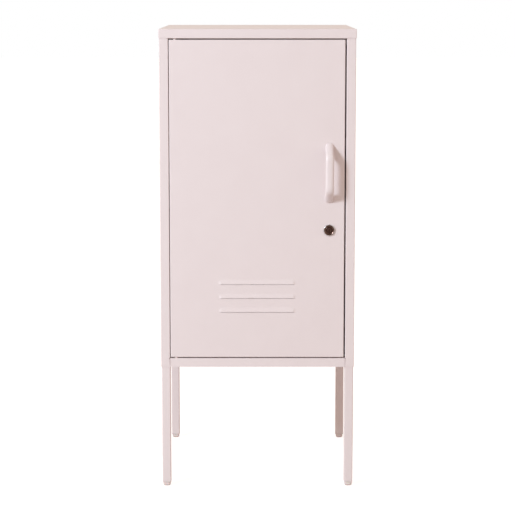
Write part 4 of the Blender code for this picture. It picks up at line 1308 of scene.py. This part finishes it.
@dataclass
class CamLock:
    """The cam lock: its bezel and barrel, nut, plug, cam and cam screw.

    Attributes:
        fasteners: The maker of the cam's screw.
        plug_radius: The plug's radius, in millimetres.
        bezel: The bezel's radius, in millimetres.
        barrel: The barrel's radius, in millimetres.
        hub: The radius of the cam's round end on the plug.
        tip: The radius of its other end.
    """

    fasteners: Fasteners
    plug_radius: float = 6.0
    bezel: float = 12.5
    barrel: float = 9.0
    hub: float = 9 * MM
    tip: float = 6 * MM

    def __post_init__(self) -> None:
        """Finds the lock's axis, the face of its bezel and its depth."""
        low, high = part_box("lock_housing")
        self.front = middle_of("lock_housing")
        self.front.y = low.y
        self.deep = (high.y - low.y) / MM

    def build(self) -> None:
        """Builds the lock."""
        self.housing()
        self.nut()
        self.plug()
        self.cam()
        sizes = (4.6, 2.5, 2.0, 9.0)
        self.fasteners.crosshead("cam_fixing_screw", "cam_screw", sizes, Axis.BACK, Body.LOCK)

    def at(self, y: float) -> Vector:
        """The point of the lock's axis at this depth."""
        return Vector((self.front.x, y, self.front.z))

    def housing(self) -> None:
        """The bright rim, and the dished face that runs down to the plug, in one with the barrel; the face's
        darkness is a painted reflection.
        """
        bore, rim, edge, barrel = self.plug_radius + 0.3, self.bezel, self.bezel - 1.9, self.barrel
        profile = [(edge, 3.0), (edge, 0.8), (edge + 0.2, 0.35), (edge + 0.6, 0), (rim - 0.8, 0.2)]
        profile += [(rim - 0.3, 0.8), (rim, 1.8), (rim, 3.0)]
        piece = as_piece("lock_rim", turned(profile, self.front, Axis.BACK, ring=True, sides=72))
        deliver(piece, CHROME_PLATE, Body.DOOR, ["lock_housing"])
        edge -= 0.05
        profile = [(bore, 2.2), (bore + 0.1, 1.2), (bore + 0.4, 0.9), (bore + 0.8, 1.0), (bore + 1.2, 1.7)]
        profile += [(bore + 2.2, 2.0), (edge - 0.8, 1.5), (edge, 0.9), (edge, 3.0), (barrel, 3.0)]
        profile += [(barrel, self.deep - 0.4), (barrel - 0.4, self.deep), (bore, self.deep)]
        # The dished face and barrel are painted dark brown, a painted reflection in place of the dark room that
        # the chrome mirrors.
        piece = as_piece("lock_face_and_barrel", turned(profile, self.front, Axis.BACK, ring=True, sides=72))
        deliver(piece, CHROME_WITH_PAINTED_DARK_REFLECTION, Body.DOOR)

    def nut(self) -> None:
        """The hexagon nut that clamps the lock, with chamfered corners."""
        low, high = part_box("lock_nut")
        place = self.at(low.y)
        across, thick = (high.x - low.x) / 2 / MM, (high.y - low.y) / MM
        flat = across * 0.87
        profile = [(0, 0), (flat, 0), (across, 1.0), (across, thick - 1.0), (flat, thick), (0, thick)]
        piece = as_piece("lock_clamp_nut", turned(profile, place, Axis.BACK))
        outline = [place + Vector((x, -MM, z)) for x, z in hexagon((across + 0.2) * MM)]
        combine(piece, extruded(outline, (0, (thick + 2) * MM, 0)), "INTERSECT")
        drill(piece, place, self.barrel + 0.3, Axis.BACK, (-2, thick + 2), 48)
        deliver(soften(piece, self.fasteners.bolt_edge, 2), ZINC_PLATE, Body.DOOR, ["lock_nut"])

    def plug(self) -> None:
        """The turning plug with its keyway and the ends of three wafers in it."""
        low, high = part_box("lock_plug")
        radius, long, place = self.plug_radius, (high.y - low.y) / MM, self.at(low.y)
        profile = [(0, 0), (radius - 0.5, 0), (radius, 0.5), (radius, long), (2.3, long), (2.3, 11), (0, 11)]
        piece = as_piece("keyed_plug", turned(profile, place, Axis.BACK, sides=72))
        keyway = [(-0.9, -4.0), (0.9, -4.0), (0.9, -1.2), (0.45, -0.8), (0.9, -0.2), (0.9, 3.2), (-0.9, 3.2)]
        outline = [place + Vector((x, -1, z)) * MM for x, z in keyway]
        combine(piece, extruded(outline, (0, 7 * MM, 0)), "DIFFERENCE")
        for depth in (1.6, 3.0, 4.4):
            wafer = [place + Vector(end) * MM for end in ((-1.2, depth, -2.4), (1.2, depth + 0.5, -1.4))]
            combine(piece, block(*wafer), "UNION")
        # The plug's face is painted dark brown, the same painted reflection as the lock's dished face.
        deliver(soften(piece, 0.1 * MM, 2), CHROME_WITH_PAINTED_DARK_REFLECTION, Body.LOCK, ["lock_plug"])

    def cam(self) -> None:
        """The flat arm that the plug swings behind the stile."""
        low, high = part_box("lock_cam")
        outline = []
        for radius, height, start in ((self.hub, self.front.z, math.pi), (self.tip, high.z - self.tip, 0)):
            for angle in spaced(start, start + math.pi, 16):
                x, z = radius * math.cos(angle), radius * math.sin(angle)
                outline.append((self.front.x + x, low.y, height + z))
        piece = as_piece("cam_arm", extruded(outline, (0, high.y - low.y, 0)))
        drill(piece, self.at(low.y), PIN_HOLE, Axis.BACK, (-3, 5))
        deliver(soften(piece, 0.25 * MM), ZINC_PLATE, Body.LOCK, ["lock_cam"])


@dataclass
class HingesAndCatch:
    """The hinge pins and bushes, the bumpers, the magnetic catch and the cable grommet.

    Attributes:
        fasteners: The maker of the catch's screws.
        flange: The thickness of a pin's head and of a bush's flange, in millimetres.
        case_half: Half the width of the catch's case.
        ear_thick: The thickness of its ears.
        pole_plate: The thickness of a pole plate.
    """

    fasteners: Fasteners
    flange: float = 1.5
    case_half: float = 17 * MM
    ear_thick: float = 2.5 * MM
    pole_plate: float = 1.4 * MM

    def build(self) -> None:
        """Builds the small fittings."""
        for name, up in (("lower", 1), ("upper", -1)):
            self.pin(name, up)
            self.bush(name, up)
        for name in ("inner", "outer"):
            self.bumper(name)
        self.catch()
        self.grommet()

    @staticmethod
    def stood(node: str, profile: Flat, up: int, ring: bool = False) -> Shape:
        """Turns a profile from one end of a node's box, up if up is 1 and down if it is -1."""
        low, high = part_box(node)
        place = (*middle_of(node).xy, low.z if up > 0 else high.z)
        return turned([(radius, up * height) for radius, height in profile], place, Axis.UP, ring, 40)

    def pin(self, name: str, up: int) -> None:
        """A headed hinge pin, which points up or down."""
        node, head = f"hinge_pin_{name}", self.flange
        profile = [(0, 0), (3.1, 0), (3.4, 0.4), (3.4, head), (2, head), (2, 11), (1.3, 11.8), (0, 11.8)]
        piece = as_piece(f"headed_pin_{name}", self.stood(node, profile, up))
        deliver(soften(piece, 0.1 * MM, 2), ZINC_PLATE, Body.CABINET, [node])

    def bush(self, name: str, up: int) -> None:
        """A flanged nylon bush in the door's edge."""
        node, thick = f"hinge_bush_{name}", self.flange
        low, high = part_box(node)
        rim, long = (high.x - low.x) / 2 / MM, (high.z - low.z) / MM
        profile = [(2.3, 0), (rim - 0.2, 0), (rim, 0.2), (rim, thick), (3.1, thick), (3.1, long), (2.3, long)]
        piece = as_piece(f"flanged_bush_{name}", self.stood(node, profile, up, ring=True))
        deliver(piece, NYLON, Body.DOOR, [node])

    def bumper(self, name: str) -> None:
        """A rubber button that cushions the door."""
        node = f"door_bumper_{name}"
        low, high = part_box(node)
        middle, deep = middle_of(node), (high.y - low.y) / MM
        profile = [(0, 0), (2.6, 0), (3.4, 0.15), (4.1, 0.6), (4.5, 1.4)]
        profile += [(4.8, deep - 0.3), (4.8, deep), (0, deep)]
        shape = turned(profile, (middle.x, low.y, middle.z), Axis.BACK, sides=40)
        deliver(as_piece(f"rubber_button_{name}", shape), RUBBER, Body.CABINET, [node])

    def catch(self) -> None:
        """The moulded case, its magnet between two pole plates, and its two screws."""
        low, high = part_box("magnet_catch_body")
        middle, half = (low.x + high.x) / 2, self.case_half
        ears = block((low.x, low.y + MM, low.z), (high.x, high.y, low.z + self.ear_thick))
        piece = soften(as_piece("catch_case", ears), MM, 4)
        case = block((middle - half, low.y, low.z + MM), (middle + half, high.y - 2 * MM, high.z))
        case = soften(as_piece("case", case), MM, 4)
        lump = bmesh.new()
        lump.from_mesh(case.data)
        bpy.data.objects.remove(case)
        combine(piece, lump, "UNION")
        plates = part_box("magnet_catch_plates")
        pocket = block(plates[0] - Vector((GAP, 9 * MM, GAP)), plates[1] + Vector((GAP, GAP, GAP)))
        combine(piece, pocket, "DIFFERENCE")
        for side in SIDES:
            node = f"catch_screw_{side}"
            drill(piece, (*middle_of(node).xy, low.z), SCREW_HOLE, Axis.UP, (-3, 6))
            sizes = (3.0, 2.0, 1.5, 7.2)
            self.fasteners.crosshead(f"catch_fixing_{side}", node, sizes, Axis.UP, Body.CABINET)
        deliver(piece, BLACK_ABS, Body.CABINET, ["magnet_catch_body"])
        self.magnet(*plates)

    def magnet(self, low: Vector, high: Vector) -> None:
        """Two steel pole plates with a ferrite magnet between them, set back a little."""
        plate, gap = self.pole_plate, self.pole_plate + 0.02 * MM
        upper = block((low.x, low.y, high.z - plate), high)
        lower = block(low, (high.x, high.y, low.z + plate))
        core = block((low.x + MM, low.y + 0.8 * MM, low.z + gap), (high.x - MM, high.y, high.z - gap))
        parts = [
            ("pole_plate_upper", upper, ZINC_PLATE, ["magnet_catch_plates"]),
            ("pole_plate_lower", lower, ZINC_PLATE, []),
            ("catch_magnet", core, FERRITE, []),
        ]
        for name, shape, finish, nodes in parts:
            deliver(soften(as_piece(name, shape), 0.2 * MM), finish, Body.CABINET, nodes)

    def grommet(self) -> None:
        """The rubber ring in the cable hole."""
        place = middle_of("cable_grommet")
        place.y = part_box("back_panel")[0].y
        front = (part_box("cable_grommet")[0].y - place.y) / MM
        profile = [(21, front + 0.4), (21.4, front), (24, front), (27.4, front + 0.8), (28, front + 1.4)]
        profile += [(28, -0.3), (24.7, -0.3), (24.7, 1.3), (28, 1.3), (27.6, 1.8), (26.8, 2.0)]
        profile += [(21.4, 2.0), (21, 1.7)]
        piece = as_piece("rubber_grommet", turned(profile, place, Axis.BACK, ring=True, sides=72))
        deliver(piece, RUBBER, Body.CABINET, ["cable_grommet"])


# ---- studio -------------------------------------------------------------------------------------
@dataclass
class Studio:
    """The camera, the lights, the white surroundings and the pale floor.

    Attributes:
        distance: From the camera to the plane of the door's face.
        height: The camera's height.
        pitch: How far it looks down, in degrees.
        lens: Its focal length in millimetres.
        shift: Its vertical shift, as a share of the frame.
        key_way: The way from the cabinet to the main light.
        key_distance: How far away the main light is.
        key_size: Its diameter.
        key_power: Its power in watts.
        key_colour: Its sRGB colour.
        fill: The strength of the surroundings.
        fill_colour: Their sRGB colour.
        ceiling: The share of that strength that comes from straight above.
        camera_side: The strength of the surroundings round the camera.
        floor_glow: How bright the floor looks, as a share of white.
        floor_colour: The sRGB colour of the light that it bounces.
    """

    distance: float = 3.88
    height: float = 1.088
    pitch: float = 7.799
    lens: float = 126.1
    shift: float = -0.04
    key_way: tuple[float, float, float] = (-3.9, -4.1, 2.5)
    key_distance: float = 6.2
    key_size: float = 1.25
    key_power: float = 272.0
    key_colour: str = "DAEEFB"
    fill: float = 1.07
    fill_colour: str = "FFF0E3"
    ceiling: float = 0.4
    camera_side: float = 0.05
    floor_glow: float = 0.75
    floor_colour: str = "CFC4C0"

    def build(self) -> None:
        """Sets up the whole studio."""
        bpy.context.scene.view_settings.view_transform = "Standard"
        self.camera()
        self.key()
        self.surroundings()
        self.floor()

    def camera(self) -> None:
        """A long lens, a little above the cabinet's top, that looks slightly down at the door."""
        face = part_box("right_side_panel")[0].y
        data = bpy.data.cameras.new("camera")
        data.lens = self.lens
        data.shift_y = self.shift
        data.clip_end = 60
        camera = in_scene("camera", data)
        camera.location = (0, face - self.distance, self.height)
        camera.rotation_euler = (math.radians(90 - self.pitch), 0, 0)
        bpy.context.scene.camera = camera

    def key(self) -> None:
        """The large soft light, up to the left in front."""
        low, high = CAD_BOX
        data = bpy.data.lights.new("key", "AREA")
        data.shape = "DISK"
        data.size = self.key_size
        data.energy = self.key_power
        data.color = linear(self.key_colour)[:3]
        light = in_scene("key", data)
        way = Vector(self.key_way).normalized()
        light.location = (low + high) / 2 + way * self.key_distance
        light.rotation_euler = way.to_track_quat("Z", "Y").to_euler()

    @staticmethod
    def fade(tree: Tree, towards: Place, edges: Sequence[float], strengths: Sequence[float]) -> Socket:
        """Fades the surroundings from one strength to another as the eye turns towards a direction.

        Args:
            tree: The world's nodes.
            towards: The direction.
            edges: The cosines of the angles from it at which the fade starts and ends.
            strengths: The strengths at those angles.

        Returns:
            The strength.
        """
        way = add_node(tree, "ShaderNodeTexCoord").outputs["Generated"]
        facing = add_node(tree, "ShaderNodeVectorMath", {"operation": "DOT_PRODUCT"}, {0: way, 1: towards})
        inputs = dict(zip(("From Min", "From Max", "To Min", "To Max"), (*edges, *strengths)))
        inputs["Value"] = facing.outputs["Value"]
        return add_node(tree, "ShaderNodeMapRange", {"interpolation_type": "SMOOTHSTEP"}, inputs).outputs[0]

    def surroundings(self) -> None:
        """A white backdrop to the eye. The light it gives is warmer, and darker round the camera and above."""
        world = bpy.data.worlds.new("studio")
        bpy.context.scene.world = world
        tree = blank_tree(world)
        patch = self.fade(tree, (0, -1, 0), (0.86, 0.985), (self.fill, self.camera_side))
        shade = self.fade(tree, (0, 0, 1), (0.3, 0.9), (1.0, self.ceiling))
        strength = add_node(tree, "ShaderNodeMath", {"operation": "MULTIPLY"}, {0: patch, 1: shade})
        inputs = {"Color": linear(self.fill_colour), "Strength": strength.outputs[0]}
        soft = add_node(tree, "ShaderNodeBackground", inputs=inputs)
        white = add_node(tree, "ShaderNodeBackground", inputs={"Color": (1, 1, 1, 1), "Strength": 1.0})
        add_node(tree, "ShaderNodeOutputWorld", inputs={"Surface": seen_or_lighting(tree, white, soft)})

    def floor(self) -> None:
        """A pale seamless floor. It glows to the eye, so that it reads as white, and bounces little light."""
        shape = bmesh.new()
        bmesh.ops.create_grid(shape, x_segments=1, y_segments=1, size=25)
        floor = as_piece("studio_floor", shape)
        material = bpy.data.materials.new("pale_paper_sweep")
        tree = blank_tree(material)
        paper = add_node(tree, "ShaderNodeBsdfDiffuse", inputs={"Color": linear(self.floor_colour)})
        glow = add_node(tree, "ShaderNodeEmission", inputs={"Strength": self.floor_glow})
        dark = add_node(tree, "ShaderNodeEmission", inputs={"Strength": 0.0})
        inputs = {0: paper.outputs[0], 1: seen_or_lighting(tree, glow, dark)}
        both = add_node(tree, "ShaderNodeAddShader", inputs=inputs)
        add_node(tree, "ShaderNodeOutputMaterial", inputs={"Surface": both.outputs[0]})
        floor.data.materials.append(material)


def main() -> None:
    """Builds the studio and the cabinet."""
    logging.basicConfig(level=logging.INFO, format="%(name)s %(message)s")
    Studio().build()
    fitter, fasteners = Fitter(), Fasteners()
    assemblies = [
        Carcass(fitter),
        Shelving(fitter),
        Legs(fitter, fasteners),
        DoorLeaf(),
        BowHandle(fasteners),
        CamLock(fasteners),
        HingesAndCatch(fasteners),
    ]
    for assembly in assemblies:
        assembly.build()


if __name__ == "__main__":
    main()
